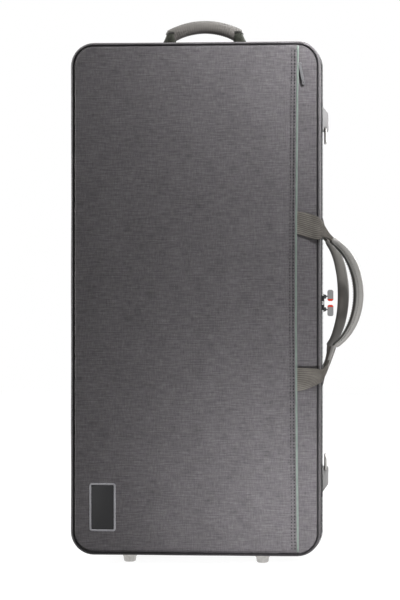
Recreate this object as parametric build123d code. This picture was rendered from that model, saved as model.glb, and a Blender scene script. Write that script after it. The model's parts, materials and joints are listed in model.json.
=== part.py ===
from build123d import *
from math import cos, radians, sin
import os

# A fabric covered viola case, standing on one short end.
# X runs from the hinge side to the zip side, Y from the lid to the body, Z up.
# The model is drawn about the middle of the case and the plane where it parts,
# and then shifted so that the origin is the bottom centre of the whole object.

# Case
CASE_WIDTH = 395.0
CASE_HEIGHT = 810.0
LID_DEPTH = 60.0
BODY_DEPTH = 98.0
CORNER_RADIUS = 37.0
EDGE_RADIUS = 8.0
PARTING_GAP = 0.4
COVER_THICKNESS = 1.2
WALL_THICKNESS = 11.7
BOARD_THICKNESS = 10.0
SEAT_GAP = 0.3
BORE_GAP = 0.05

# Feet
FOOT_HEIGHT = 12.0
FOOT_RADIUS = 10.0
FOOT_INSET = 92.0
FRONT_FOOT_DEPTH = 35.0
REAR_FOOT_DEPTH = 62.0

# Piping round the front and back faces
PIPING_RADIUS = 2.0
PIPING_INSET = 4.5

# Inner rim that stands up into the lid
RIM_THICKNESS = 2.4
TONGUE_THICKNESS = 1.4
TONGUE_HEIGHT = 7.0

# Sheet music pocket on the lid, its placket and its zip
POCKET_INSET = 7.5
POCKET_THICKNESS = 4.0
POCKET_EDGE_INSET = 48.5
PLACKET_EDGE_INSET = 36.5
PLACKET_OVERLAP = 10.0
PLACKET_THICKNESS = 1.2
POCKET_TAPE_THICKNESS = 0.8
POCKET_BEAD_WIDTH = 3.4
POCKET_BEAD_HEIGHT = 1.8
POCKET_SLIDER_DROP = 36.0
POCKET_SLIDER_LENGTH = 9.0
POCKET_PULL_LENGTH = 34.0
POCKET_PULL_WIDTH = 4.2
POCKET_PULL_LEAN = 12.0

# Plain patch on the pocket
PATCH_WIDTH = 41.6
PATCH_HEIGHT = 76.0
PATCH_INSET = 51.5
PATCH_RISE = 76.5
PATCH_BORDER = 3.0
PATCH_THICKNESS = 0.9

# Main zip round three sides
TAPE_WIDTH = 9.0
TAPE_THICKNESS = 1.0
BEAD_WIDTH = 2.0
BEAD_HEIGHT = 2.5
ZIP_END = 60.0
SLIDER_MEET_DROP = 6.5
SLIDER_LENGTH = 14.0
SLIDER_WIDTH = 8.6
SLIDER_PLATE = 1.45
SLIDER_GAP = 0.15
PULL_PIVOT_RISE = 10.0
PULL_PIVOT_STAND = 1.6
PULL_WIDTH = 9.5
PULL_LENGTH = 18.0
PULL_THICKNESS = 5.5
PULL_STAND = 3.3
PULL_ACCENT = 3.5
LINK_RADIUS = 0.8
LINK_REACH = 7.0
LINK_HALF_WIDTH = 1.9
LINK_ANGLE = 14.0

# Hinge spine on the left side
SPINE_WIDTH = 24.0
SPINE_THICKNESS = 1.2

# Carry handles on the right side
STRAP_WIDTH = 37.0
STRAP_THICKNESS = 2.0
STRAP_UPPER_RISE = 115.0
STRAP_LOWER_DROP = 125.0
FOLD_GAP = 0.8
PIVOT_STAND = 2.3
PIVOT_SETBACK = 1.2
FRONT_HANDLE_ANGLE = 43.1
REAR_HANDLE_ANGLE = -65.0
GRIP_RADIUS = 91.5
GRIP_CENTRE_REACH = -13.7
GRIP_HALF_ANGLE = 65.1
GRIP_RISE = 13.0
GRIP_THICKNESS = 14.0
GRIP_WIDTH = 19.0
GRIP_END_THICKNESS = 7.5
GRIP_END_WIDTH = 14.0
LOOP_THICKNESS = 2.4
LOOP_WIDTH = 34.0
LOOP_SHIFT = 4.0

# Handle on the top end
TOP_HANDLE_X = 8.0
TOP_HANDLE_DEPTH = 49.0
TOP_GRIP_RADIUS = 114.0
TOP_GRIP_PEAK = 41.0
TOP_GRIP_HALF_ANGLE = 29.0
TOP_GRIP_THICKNESS = 20.0
TOP_GRIP_WIDTH = 25.0
TOP_PIVOT_RISE = 4.6
TOP_ROLL_RADIUS = 3.0
TOP_LOOP_THICKNESS = 1.5
TOP_END_INNER = 47.0
TOP_END_OUTER = 80.0
TOP_ANCHOR_LENGTH = 11.0
TOP_ANCHOR_WIDTH = 30.0

# Rings for a shoulder strap
RING_WIRE = 2.0
RING_HALF_WIDTH = 17.0
RING_STRAIGHT = 6.0
TAB_WIDTH = 27.5
TAB_LENGTH = 35.0
TAB_STAND = 6.5
TAB_WRAP = 2.8
TAB_DEPTH = 34.0
UPPER_RING_DROP = 131.5
LOWER_RING_RISE = 131.5

# Foam insert for the instrument
NEST_FRONT = 3.0
NEST_CAVITY_DEPTH = 66.0
BODY_LENGTH = 415.0
LOWER_BOUT = 250.0
UPPER_BOUT = 200.0
WAIST = 142.0
NEST_AXIS_INSET = 151.5
NEST_RISE = 33.0
NECK_WIDTH = 48.0
NECK_DEPTH = 52.0
SCROLL_WIDTH = 66.0
SCROLL_DEPTH = 60.0
SCROLL_DROP = 68.0
SCROLL_LENGTH = 64.0
BOX_DEPTH = 62.0
BOX_DROP = 36.0
BOX_LENGTH = 260.0
LEFT_BOX_INSET = 25.5
LEFT_BOX_WIDTH = 70.0
RIGHT_BOX_INSET = 23.5
RIGHT_BOX_GAP = 54.0
SIDE_BOX_GAP = 142.0
SIDE_BOX_RISE = 38.0
BOX_WALL = 22.0
BOX_CORNER = 8.0

# Pieces on the insert
CRADLE_RISE = 47.0
CRADLE_LENGTH = 28.0
CRADLE_HEIGHT = 22.0
CRADLE_NOTCH = 16.0
PILLOW_THICKNESS = 5.0
NECK_STRAP_RISE = 100.0
NECK_STRAP_WIDTH = 30.0
NECK_STRAP_THICKNESS = 2.4
NECK_STRAP_OVERLAP = 11.0
BOX_LID_THICKNESS = 2.6
BOX_LID_LAP = 5.0
BOX_LID_TAB = 9.0

# Lid furniture
LINING_THICKNESS = 6.0
BOW_SPREAD = 70.0
SPINNER_RISE = 100.0
SPINNER_BASE_RADIUS = 13.0
SPINNER_BASE_HEIGHT = 3.0
SPINNER_STALK_RADIUS = 4.0
SPINNER_STALK_HEIGHT = 13.0
SPINNER_BAR_LENGTH = 34.0
SPINNER_BAR_WIDTH = 10.0
SPINNER_BAR_HEIGHT = 7.0
BOW_REST_RISE = 15.0
BOW_REST_WIDTH = 46.0
BOW_REST_LENGTH = 18.0
BOW_REST_HEIGHT = 16.0
BOW_REST_NOTCH = 5.5
TIP_POCKET_DROP = 83.0
TIP_POCKET_WIDTH = 44.0
TIP_POCKET_LENGTH = 66.0
TIP_POCKET_HEIGHT = 15.0
TIP_SLOT_WIDTH = 24.0
TIP_SLOT_HEIGHT = 9.0

# Places worked out from the sizes above
HALF_WIDTH = CASE_WIDTH / 2
FOOT_SPREAD = HALF_WIDTH - FOOT_INSET
POCKET_EDGE = HALF_WIDTH - POCKET_EDGE_INSET
PLACKET_EDGE = HALF_WIDTH - PLACKET_EDGE_INSET
NEST_AXIS = NEST_AXIS_INSET - HALF_WIDTH
LEFT_BOX_LEFT = LEFT_BOX_INSET - HALF_WIDTH
LEFT_BOX_RIGHT = LEFT_BOX_LEFT + LEFT_BOX_WIDTH
RIGHT_BOX_LEFT = NEST_AXIS + RIGHT_BOX_GAP
RIGHT_BOX_RIGHT = HALF_WIDTH - RIGHT_BOX_INSET
SIDE_BOX_LEFT = NEST_AXIS + SIDE_BOX_GAP
MID_Z = FOOT_HEIGHT + CASE_HEIGHT / 2
TOP_Z = FOOT_HEIGHT + CASE_HEIGHT
POCKET_SLIDER_HEIGHT = TOP_Z - POCKET_SLIDER_DROP
SLIDER_MEET = MID_Z - SLIDER_MEET_DROP
STRAP_UPPER_Z = MID_Z + STRAP_UPPER_RISE
STRAP_LOWER_Z = MID_Z - STRAP_LOWER_DROP
UPPER_RING_Z = TOP_Z - UPPER_RING_DROP
LOWER_RING_Z = FOOT_HEIGHT + LOWER_RING_RISE
PATCH_X = -HALF_WIDTH + PATCH_INSET
PATCH_Z = FOOT_HEIGHT + PATCH_RISE
NEST_BOTTOM = FOOT_HEIGHT + NEST_RISE
CRADLE_Z = NEST_BOTTOM + BODY_LENGTH + CRADLE_RISE
NECK_STRAP_Z = NEST_BOTTOM + BODY_LENGTH + NECK_STRAP_RISE
SCROLL_TOP = TOP_Z - SCROLL_DROP
SCROLL_BOTTOM = SCROLL_TOP - SCROLL_LENGTH
BOX_TOP = TOP_Z - BOX_DROP
BOX_BOTTOM = BOX_TOP - BOX_LENGTH
SIDE_BOX_BOTTOM = FOOT_HEIGHT + SIDE_BOX_RISE
SIDE_BOX_TOP = BOX_BOTTOM - BOX_WALL
SPINNER_Z = FOOT_HEIGHT + SPINNER_RISE
BOW_REST_Z = MID_Z + BOW_REST_RISE
TIP_POCKET_Z = TOP_Z - TIP_POCKET_DROP
LINER_INSET = COVER_THICKNESS + SEAT_GAP
INNER_INSET = LINER_INSET + WALL_THICKNESS
BODY_FLOOR = BODY_DEPTH - LINER_INSET - BOARD_THICKNESS
LID_FLOOR = LID_DEPTH - LINER_INSET - BOARD_THICKNESS
NEST_INSET = INNER_INSET + SEAT_GAP + RIM_THICKNESS + SEAT_GAP
TAPE_FACE = HALF_WIDTH + TAPE_THICKNESS
BEAD_FACE = TAPE_FACE + BEAD_HEIGHT
LINING_FACE = -LID_FLOOR + SEAT_GAP + LINING_THICKNESS
HANDLE_PIVOT_X = HALF_WIDTH + PIVOT_STAND
FRONT_PIVOT_Y = -LID_DEPTH + PIVOT_SETBACK
REAR_PIVOT_Y = BODY_DEPTH - PIVOT_SETBACK
STRAP_FACE = SEAT_GAP + STRAP_THICKNESS / 2
TOP_PIVOT_Z = TOP_Z + TOP_PIVOT_RISE
RING_X = HALF_WIDTH + TAB_STAND
PULL_PIVOT_X = BEAD_FACE + SLIDER_GAP + SLIDER_PLATE + PULL_PIVOT_STAND
POCKET_PIVOT_Y = -LID_DEPTH - POCKET_THICKNESS


def slab(width, height, radius, near, far, x=0.0, z=MID_Z):
    """A plate with round corners as seen from the front, between two depths."""
    plate = extrude(RectangleRounded(width, height, radius), amount=far - near)
    return Pos(x, far, z) * Rot(90, 0, 0) * plate


def box_between(x0, x1, y0, y1, z0, z1):
    """A box between two values on each axis."""
    middle = Pos((x0 + x1) / 2, (y0 + y1) / 2, (z0 + z1) / 2)
    return middle * Box(x1 - x0, y1 - y0, z1 - z0)


def half_block(depth, inset=0.0):
    """One half of the case as a full block, drawn in by an inset, its far edge rounded."""
    width = CASE_WIDTH - 2 * inset
    height = CASE_HEIGHT - 2 * inset
    block = slab(width, height, CORNER_RADIUS - inset, PARTING_GAP / 2, depth - inset)
    far_face = block.faces().sort_by(Axis.Y)[-1]
    return fillet(far_face.edges(), EDGE_RADIUS - inset)


def ring_band(inset_out, inset_in, near, far):
    """A band round the case between two insets; a negative inset stands proud."""
    outer = slab(CASE_WIDTH - 2 * inset_out, CASE_HEIGHT - 2 * inset_out,
                 CORNER_RADIUS - inset_out, near, far)
    inner = slab(CASE_WIDTH - 2 * inset_in, CASE_HEIGHT - 2 * inset_in,
                 CORNER_RADIUS - inset_in, near, far)
    return outer - inner


def half_cover(depth):
    """The woven cover pulled over one half."""
    return half_block(depth) - half_block(depth, COVER_THICKNESS)


def half_shell(depth, floor):
    """The stiff foam tub inside one cover."""
    cavity = slab(CASE_WIDTH - 2 * INNER_INSET, CASE_HEIGHT - 2 * INNER_INSET,
                  CORNER_RADIUS - INNER_INSET, PARTING_GAP / 2, floor)
    return half_block(depth, LINER_INSET) - cavity


def piping(depth):
    """The round cord sewn into the seam of one large face."""
    outline = RectangleRounded(CASE_WIDTH - 2 * PIPING_INSET, CASE_HEIGHT - 2 * PIPING_INSET,
                               CORNER_RADIUS - PIPING_INSET)
    path = outline.wire()
    section = Plane(origin=path @ 0, z_dir=path % 0) * Circle(PIPING_RADIUS)
    tube = Pos(0, depth, MID_Z) * Rot(90, 0, 0) * sweep(section, path=path)
    return tube - half_block(depth)


def zip_half():
    """Tape and bead of the main zip on one half, round three sides."""
    near = PARTING_GAP / 2
    tape = ring_band(-TAPE_THICKNESS, 0.0, near, near + TAPE_WIDTH)
    bead = ring_band(-TAPE_THICKNESS - BEAD_HEIGHT, -TAPE_THICKNESS, near, near + BEAD_WIDTH)
    reach = HALF_WIDTH + TAPE_THICKNESS + BEAD_HEIGHT
    hinge_side = box_between(-2 * reach, -HALF_WIDTH + ZIP_END, -LID_DEPTH, BODY_DEPTH,
                             -CASE_HEIGHT, 2 * CASE_HEIGHT)
    return (tape + bead) - hinge_side


def spine_half():
    """Half of the fabric hinge on the left side."""
    straight = CASE_HEIGHT - 2 * CORNER_RADIUS
    near = PARTING_GAP / 2
    return box_between(-HALF_WIDTH - SPINE_THICKNESS, -HALF_WIDTH, near, near + SPINE_WIDTH,
                       MID_Z - straight / 2, MID_Z + straight / 2)


def on_lid(piece):
    """Turn a piece that was drawn on the body half to the lid half."""
    return mirror(piece, about=Plane.XZ)


def foot(x, y):
    """A turned metal stud with a flange and a rounded sole."""
    profile = Polyline((0, 0), (FOOT_RADIUS * 0.72, 0), (FOOT_RADIUS * 0.86, FOOT_HEIGHT * 0.14),
                       (FOOT_RADIUS * 0.86, FOOT_HEIGHT * 0.62), (FOOT_RADIUS, FOOT_HEIGHT * 0.74),
                       (FOOT_RADIUS, FOOT_HEIGHT), (0, FOOT_HEIGHT), close=True)
    return Pos(x, y, 0) * revolve(Plane.XZ * make_face(profile), axis=Axis.Z)


def feet(y):
    """Two studs side by side."""
    return [foot(-FOOT_SPREAD, y), foot(FOOT_SPREAD, y)]


def front_sketch(inset):
    """The case's outline drawn in by an inset, as a face seen from the front."""
    return RectangleRounded(CASE_WIDTH - 2 * inset, CASE_HEIGHT - 2 * inset,
                            CORNER_RADIUS - inset)


def column(x0, x1):
    """A tall strip between two places across the case."""
    return Pos((x0 + x1) / 2, 0) * Rectangle(x1 - x0, 2 * CASE_HEIGHT)


def raise_front(sketch, base, thickness):
    """Extrude a front view sketch forward from a depth in front of the parting plane."""
    return Pos(0, -base, MID_Z) * Rot(90, 0, 0) * extrude(sketch, amount=thickness)


def music_pocket():
    """The flat pocket panel on the lid, padded at its edges."""
    sketch = front_sketch(POCKET_INSET) & column(-HALF_WIDTH, POCKET_EDGE)
    panel = raise_front(sketch, LID_DEPTH, POCKET_THICKNESS)
    front_edges = panel.faces().sort_by(Axis.Y)[0].edges().sort_by(Axis.X)[:-1]
    return fillet(front_edges, POCKET_THICKNESS / 2)


def placket():
    """The flap that covers the pocket zip."""
    sketch = front_sketch(POCKET_INSET + POCKET_THICKNESS / 2)
    sketch = sketch & column(POCKET_EDGE - PLACKET_OVERLAP, PLACKET_EDGE)
    return raise_front(sketch, LID_DEPTH + POCKET_THICKNESS, PLACKET_THICKNESS)


def pocket_zip():
    """Tape and bead of the pocket zip, under the placket."""
    tape_start = POCKET_EDGE + SEAT_GAP
    bead_start = PLACKET_EDGE - POCKET_SLIDER_LENGTH + POCKET_BEAD_WIDTH / 2
    tape = raise_front(front_sketch(POCKET_INSET) & column(tape_start, PLACKET_EDGE - SEAT_GAP),
                       LID_DEPTH, POCKET_TAPE_THICKNESS)
    bead = raise_front(front_sketch(POCKET_INSET) & column(bead_start, bead_start + POCKET_BEAD_WIDTH),
                       LID_DEPTH + POCKET_TAPE_THICKNESS, POCKET_BEAD_HEIGHT)
    return tape + bead


def pocket_slider():
    """The slider of the pocket zip, with a pin for its pull beside the placket."""
    bead_start = PLACKET_EDGE - POCKET_SLIDER_LENGTH + POCKET_BEAD_WIDTH / 2
    bead_end = bead_start + POCKET_BEAD_WIDTH
    base = -LID_DEPTH - POCKET_TAPE_THICKNESS - SLIDER_GAP
    top = -LID_DEPTH - POCKET_THICKNESS + SEAT_GAP
    low = POCKET_SLIDER_HEIGHT - POCKET_SLIDER_LENGTH / 2
    high = POCKET_SLIDER_HEIGHT + POCKET_SLIDER_LENGTH / 2
    block = box_between(bead_start - 1.5, PLACKET_EDGE + SEAT_GAP, top, base, low, high)
    block = fillet(block.edges().filter_by(Axis.Y), 1.2)
    groove = box_between(bead_start - SLIDER_GAP, bead_end + SLIDER_GAP,
                         base - POCKET_BEAD_HEIGHT, base, low, high)
    ramp_floor = -LID_DEPTH - STRAP_FACE - STRAP_THICKNESS / 2 - SEAT_GAP
    under_ear = box_between(PLACKET_EDGE - 0.2, PLACKET_EDGE + 2, ramp_floor, base, low, high)
    ear_left = PLACKET_EDGE + SEAT_GAP
    ear = box_between(ear_left, ear_left + 1, POCKET_PIVOT_Y - 1.4, ramp_floor,
                      POCKET_SLIDER_HEIGHT - 2.5, POCKET_SLIDER_HEIGHT + 2.5)
    pin_length = 2 + POCKET_PULL_WIDTH
    pin = Pos(ear_left + 0.5, POCKET_PIVOT_Y, POCKET_SLIDER_HEIGHT) * Rot(0, 90, 0) * Cylinder(
        LINK_RADIUS, pin_length, align=(Align.CENTER, Align.CENTER, Align.MIN))
    return block - groove - under_ear + ear + pin


def pocket_pull():
    """A slim metal pull that hangs on the slider's pin."""
    left = PLACKET_EDGE + SEAT_GAP + 1 + BORE_GAP * 2
    middle = left + POCKET_PULL_WIDTH / 2
    pivot = Pos(middle, POCKET_PIVOT_Y, POCKET_SLIDER_HEIGHT)
    barrel = pivot * Rot(0, 90, 0) * Cylinder(1.45, POCKET_PULL_WIDTH)
    blade = Pos(0, -POCKET_PULL_LENGTH / 2) * SlotOverall(POCKET_PULL_LENGTH, POCKET_PULL_WIDTH, 90)
    eye = Pos(0, -POCKET_PULL_LENGTH * 0.86) * SlotOverall(POCKET_PULL_LENGTH * 0.14, 1.6, 90)
    plate = Pos(0, 0.6, 0) * Rot(90, 0, 0) * extrude(blade - eye, amount=1.2)
    bore = pivot * Rot(0, 90, 0) * Cylinder(LINK_RADIUS + BORE_GAP, 3 * POCKET_PULL_WIDTH)
    beyond = box_between(PLACKET_EDGE - 10, left, -2 * LID_DEPTH, 0, 0, TOP_Z)
    return (barrel + pivot * Rot(0, -POCKET_PULL_LEAN, 0) * plate) - bore - beyond


def patch_frame():
    """The raised border of the patch."""
    ring = RectangleRounded(PATCH_WIDTH, PATCH_HEIGHT, 2.5)
    ring = ring - RectangleRounded(PATCH_WIDTH - 2 * PATCH_BORDER, PATCH_HEIGHT - 2 * PATCH_BORDER, 1)
    return raise_front(Pos(PATCH_X, PATCH_Z - MID_Z) * ring, LID_DEPTH + POCKET_THICKNESS,
                       PATCH_THICKNESS)


def patch_field():
    """The plain field inside the border."""
    trim = 2 * PATCH_BORDER + SEAT_GAP
    field = RectangleRounded(PATCH_WIDTH - trim, PATCH_HEIGHT - trim, 1)
    return raise_front(Pos(PATCH_X, PATCH_Z - MID_Z) * field, LID_DEPTH + POCKET_THICKNESS,
                       PATCH_THICKNESS / 2)


def slider(way):
    """A slider of the main zip: plate, flange on the body side and a bridge for the link."""
    z_near = SLIDER_MEET + way * SEAT_GAP
    z_mid = z_near + way * SLIDER_LENGTH / 2
    inner = BEAD_FACE + SLIDER_GAP
    plate = extrude(Plane.YZ * RectangleRounded(SLIDER_WIDTH, SLIDER_LENGTH, 2.2),
                    amount=SLIDER_PLATE)
    plate = Pos(inner, 0, z_mid) * plate
    bead_side = PARTING_GAP / 2 + BEAD_WIDTH + SLIDER_GAP
    flange = box_between(TAPE_FACE + SLIDER_GAP, inner, bead_side, SLIDER_WIDTH / 2,
                         z_mid - SLIDER_LENGTH / 2 + 2.5, z_mid + SLIDER_LENGTH / 2 - 2.5)
    half_bridge = LINK_HALF_WIDTH - LINK_RADIUS - 2 * BORE_GAP
    z_pivot = SLIDER_MEET + way * PULL_PIVOT_RISE
    outer = inner + SLIDER_PLATE
    bridge = box_between(outer, PULL_PIVOT_X + 1.7, -half_bridge, half_bridge,
                         z_pivot - 3.2, z_pivot + 3.2)
    bridge = chamfer(bridge.faces().sort_by(Axis.X)[-1].edges().filter_by(Axis.Y), 1.2)
    bore = Pos(PULL_PIVOT_X, 0, z_pivot) * Rot(90, 0, 0) * Cylinder(
        LINK_RADIUS + BORE_GAP, SLIDER_WIDTH)
    return plate + flange + bridge - bore


def pull_link(way):
    """The wire loop between slider and pull."""
    outline = RectangleRounded(LINK_REACH, 2 * LINK_HALF_WIDTH, 1.0)
    path = outline.wire()
    section = Plane(origin=path @ 0, z_dir=path % 0) * Circle(LINK_RADIUS)
    loop = Rot(0, -way * LINK_ANGLE, 0) * Pos(LINK_REACH / 2, 0, 0) * sweep(section, path=path)
    return Pos(PULL_PIVOT_X, 0, SLIDER_MEET + way * PULL_PIVOT_RISE) * loop


def pull_block(way):
    """The moulded tab before its link and accent are parted from it."""
    sketch = RectangleRounded(PULL_WIDTH, PULL_LENGTH, 3.2)
    tab = extrude(sketch, amount=PULL_THICKNESS)
    tab = fillet(tab.faces().sort_by(Axis.Z)[0].edges() + tab.faces().sort_by(Axis.Z)[-1].edges(), 0.8)
    x = PULL_PIVOT_X + PULL_STAND + PULL_WIDTH / 2
    z = SLIDER_MEET + way * (PULL_LENGTH / 2 + 3.0)
    return Pos(x, PULL_THICKNESS / 2, z) * Rot(90, 0, 0) * tab


def accent_zone(way):
    """The end of the tab that is moulded in the second colour."""
    low = SLIDER_MEET + way * 3.0
    high = low + way * PULL_ACCENT
    return box_between(HALF_WIDTH, HALF_WIDTH + 60, -20, 20, min(low, high), max(low, high))


def pull_tab(way):
    """The grey part of the tab."""
    return pull_block(way) - accent_zone(way) - pull_link(way)


def pull_accent(way):
    """The coloured end of the tab."""
    return (pull_block(way) & accent_zone(way)) - pull_link(way)


def ring_tab(z_bar, way):
    """A folded webbing tab on the right side that holds a ring; way is +1 above the ring."""
    far = z_bar + way * TAB_LENGTH
    wall = HALF_WIDTH
    wrap = RING_WIRE + TAB_WRAP
    sewn = Pos(wall + 0.6, (z_bar + far) / 2) * Rectangle(1.2, TAB_LENGTH + 2 * TAB_WRAP)
    fold = Pos(RING_X, z_bar) * Circle(wrap)
    shoulder = Pos(RING_X + wrap - 2.2, z_bar + way * TAB_LENGTH * 0.66) * Circle(2.0)
    hull = make_hull(sewn.edges() + fold.edges() + shoulder.edges())
    hull = hull - Pos(wall - 50, (z_bar + far) / 2) * Rectangle(100, 4 * TAB_LENGTH)
    solid = Pos(0, TAB_DEPTH + TAB_WIDTH / 2, 0) * Rot(90, 0, 0) * extrude(hull, amount=TAB_WIDTH)
    bore = Pos(RING_X, TAB_DEPTH, z_bar) * Rot(90, 0, 0) * Cylinder(RING_WIRE + BORE_GAP, 2 * TAB_WIDTH)
    return solid - bore


def d_ring(z_bar, way):
    """A wire ring with one straight side; way is +1 where the tab is above it."""
    half = RING_HALF_WIDTH
    corner = 3.0
    sides = FilletPolyline((-half + corner + 1, 0), (-half, 0), (-half, -RING_STRAIGHT),
                           radius=corner)
    arc = RadiusArc((-half, -RING_STRAIGHT), (half, -RING_STRAIGHT), -half)
    right = FilletPolyline((half, -RING_STRAIGHT), (half, 0), (half - corner - 1, 0), radius=corner)
    bar = Line((half - corner - 1, 0), (-half + corner + 1, 0))
    path = Wire(bar.edges() + sides.edges() + arc.edges() + right.edges())
    section = Plane(origin=path @ 0, z_dir=path % 0) * Circle(RING_WIRE)
    ring = Plane.YZ.location * sweep(section, path=path)
    if way < 0:
        ring = mirror(ring, about=Plane.XY)
    return Pos(RING_X, TAB_DEPTH, z_bar) * ring


def handle_plane(y_pivot, angle):
    """The plane of a carry handle: local x is its reach, local y is up."""
    u = (cos(radians(angle)), sin(radians(angle)), 0)
    normal = (sin(radians(angle)), -cos(radians(angle)), 0)
    return Plane(origin=(HANDLE_PIVOT_X, y_pivot, 0), x_dir=u, z_dir=normal)


def grip_mid_z():
    """Height of the middle of a carry handle."""
    return (STRAP_UPPER_Z + STRAP_LOWER_Z) / 2 + GRIP_RISE


def carry_grip(y_pivot, angle):
    """The padded crescent of a carry handle."""
    frame = handle_plane(y_pivot, angle)
    sections = []
    steps = 8
    for i in range(steps + 1):
        share = -1 + 2 * i / steps
        turn = radians(GRIP_HALF_ANGLE * share)
        fullness = 1 - share * share
        thick = GRIP_END_THICKNESS + (GRIP_THICKNESS - GRIP_END_THICKNESS) * fullness
        wide = GRIP_END_WIDTH + (GRIP_WIDTH - GRIP_END_WIDTH) * fullness
        centre = (GRIP_CENTRE_REACH + GRIP_RADIUS * cos(turn), grip_mid_z() + GRIP_RADIUS * sin(turn), 0)
        place = Plane(origin=centre, x_dir=(cos(turn), sin(turn), 0), z_dir=(-sin(turn), cos(turn), 0))
        sections.append(frame * (place * Ellipse(thick / 2, wide / 2)))
    return loft(sections)


def loop_outline(z_root, side):
    """One webbing end of a carry handle, from its fold line to the grip's end."""
    turn = radians(GRIP_HALF_ANGLE)
    inner = GRIP_RADIUS - GRIP_END_THICKNESS / 2
    outer = GRIP_RADIUS + GRIP_END_THICKNESS / 2
    z_mid = grip_mid_z()
    tip_out = (GRIP_CENTRE_REACH + outer * cos(turn), z_mid + side * outer * sin(turn))
    tip_in = (GRIP_CENTRE_REACH + inner * cos(turn), z_mid + side * inner * sin(turn))
    root_out = (0, z_root + side * LOOP_WIDTH / 2)
    root_in = (0, z_root - side * LOOP_WIDTH / 2)
    return make_face(Polyline(root_out, tip_out, tip_in, root_in, close=True))


def handle_loops(y_pivot, angle):
    """Both webbing ends of a carry handle, each rolled at its fold line."""
    frame = handle_plane(y_pivot, angle)
    pieces = []
    for z_root, side in ((STRAP_UPPER_Z - LOOP_SHIFT, 1), (STRAP_LOWER_Z + LOOP_SHIFT, -1)):
        flat = extrude(loop_outline(z_root, side), amount=LOOP_THICKNESS / 2, both=True)
        roll = Pos(0, z_root, 0) * Rot(90, 0, 0) * Cylinder(LOOP_THICKNESS / 2, LOOP_WIDTH)
        pieces.append(frame * (flat + roll))
    return pieces


def strap_path(start_x, depth, pivot_y):
    """Line of a fixed strap in plan: along the face, over the piping, to the fold line."""
    face = depth + STRAP_FACE
    over = depth + PIPING_RADIUS + SEAT_GAP + STRAP_THICKNESS / 2
    seam = HALF_WIDTH - PIPING_INSET
    return FilletPolyline((start_x, face), (seam - 9, face), (seam - 2.5, over), (seam + 3, over - 0.2),
                          (HANDLE_PIVOT_X, pivot_y), radius=2.0)


def fixed_straps(start_x, depth):
    """The two straps sewn to one half, drawn on the body side."""
    pivot_y = depth - PIVOT_SETBACK
    profile = trace(strap_path(start_x, depth, pivot_y), STRAP_THICKNESS)
    room = Pos(HANDLE_PIVOT_X, pivot_y) * Circle(LOOP_THICKNESS / 2 + FOLD_GAP)
    profile = profile - room
    pieces = []
    for z in (STRAP_UPPER_Z, STRAP_LOWER_Z):
        pieces.append(Pos(0, 0, z - STRAP_WIDTH / 2) * extrude(profile, amount=STRAP_WIDTH))
    return pieces


def top_section(turn, width, thickness):
    """A round section across the top handle at an angle from its middle."""
    centre_z = TOP_Z + TOP_GRIP_PEAK - TOP_GRIP_RADIUS
    origin = (TOP_HANDLE_X + TOP_GRIP_RADIUS * sin(turn), TOP_HANDLE_DEPTH,
              centre_z + TOP_GRIP_RADIUS * cos(turn))
    along = (cos(turn), 0, -sin(turn))
    return Plane(origin=origin, x_dir=(0, 1, 0), z_dir=along) * Ellipse(width / 2, thickness / 2)


def top_grip():
    """The ribbed rubber grip of the top handle."""
    limit = radians(TOP_GRIP_HALF_ANGLE)
    ribs = 14
    sections = []
    for i in range(2 * ribs + 1):
        share = -1 + i / ribs
        rib = 0.0 if i % 2 == 0 else 0.8
        sections.append(top_section(limit * share, TOP_GRIP_WIDTH + rib, TOP_GRIP_THICKNESS + rib))
    return loft(sections, ruled=True)


def top_webbing():
    """The two webbing ends of the top handle, each with a roll for its hinge."""
    limit = radians(TOP_GRIP_HALF_ANGLE)
    pieces = []
    for side in (-1, 1):
        cuff = top_section(side * limit, TOP_GRIP_WIDTH - 2, TOP_GRIP_THICKNESS - 3)
        root_x = TOP_HANDLE_X + side * (TOP_END_INNER + TOP_END_OUTER) / 2
        root_plane = Plane(origin=(root_x, TOP_HANDLE_DEPTH, TOP_PIVOT_Z), x_dir=(0, 1, 0),
                           z_dir=(0, 0, -1))
        root_size = (TOP_END_OUTER - TOP_END_INNER) / 2
        root = root_plane * Ellipse(TOP_ROLL_RADIUS, root_size)
        end = loft([cuff, root])
        reach = TOP_HANDLE_X + side * (TOP_END_OUTER + TOP_ANCHOR_LENGTH + 1)
        inner = TOP_HANDLE_X + side * TOP_END_INNER
        roll = Pos((reach + inner) / 2, TOP_HANDLE_DEPTH, TOP_PIVOT_Z) * Rot(0, 90, 0) * Cylinder(
            TOP_ROLL_RADIUS, abs(reach - inner))
        pieces.append(end + roll)
    return pieces


def top_anchors():
    """Two sewn webbing loops on the top end that hold the handle's rolls."""
    pieces = []
    outer = TOP_ROLL_RADIUS + BORE_GAP + TOP_LOOP_THICKNESS
    for side in (-1, 1):
        x = TOP_HANDLE_X + side * (TOP_END_OUTER + 0.5 + TOP_ANCHOR_LENGTH / 2)
        rise = TOP_PIVOT_RISE
        base = Pos(0, TOP_LOOP_THICKNESS / 2) * Rectangle(TOP_ANCHOR_WIDTH, TOP_LOOP_THICKNESS)
        arch = Pos(0, rise) * Circle(outer) + Pos(0, rise / 2) * Rectangle(2 * outer, rise)
        sketch = base + arch - Pos(0, rise) * Circle(TOP_ROLL_RADIUS + BORE_GAP)
        loop = extrude(Plane.YZ * sketch, amount=TOP_ANCHOR_LENGTH / 2, both=True)
        pieces.append(Pos(x, TOP_HANDLE_DEPTH, TOP_Z) * loop)
    return pieces


def inner_rim():
    """The liner of the body's wall, which stands up as a tongue inside the lid."""
    liner = ring_band(INNER_INSET + SEAT_GAP, INNER_INSET + SEAT_GAP + RIM_THICKNESS,
                      PARTING_GAP / 2, BODY_FLOOR - SEAT_GAP)
    inner = INNER_INSET + SEAT_GAP + RIM_THICKNESS
    tongue = ring_band(inner - TONGUE_THICKNESS, inner, -TONGUE_HEIGHT, PARTING_GAP / 2)
    return liner + tongue


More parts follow.
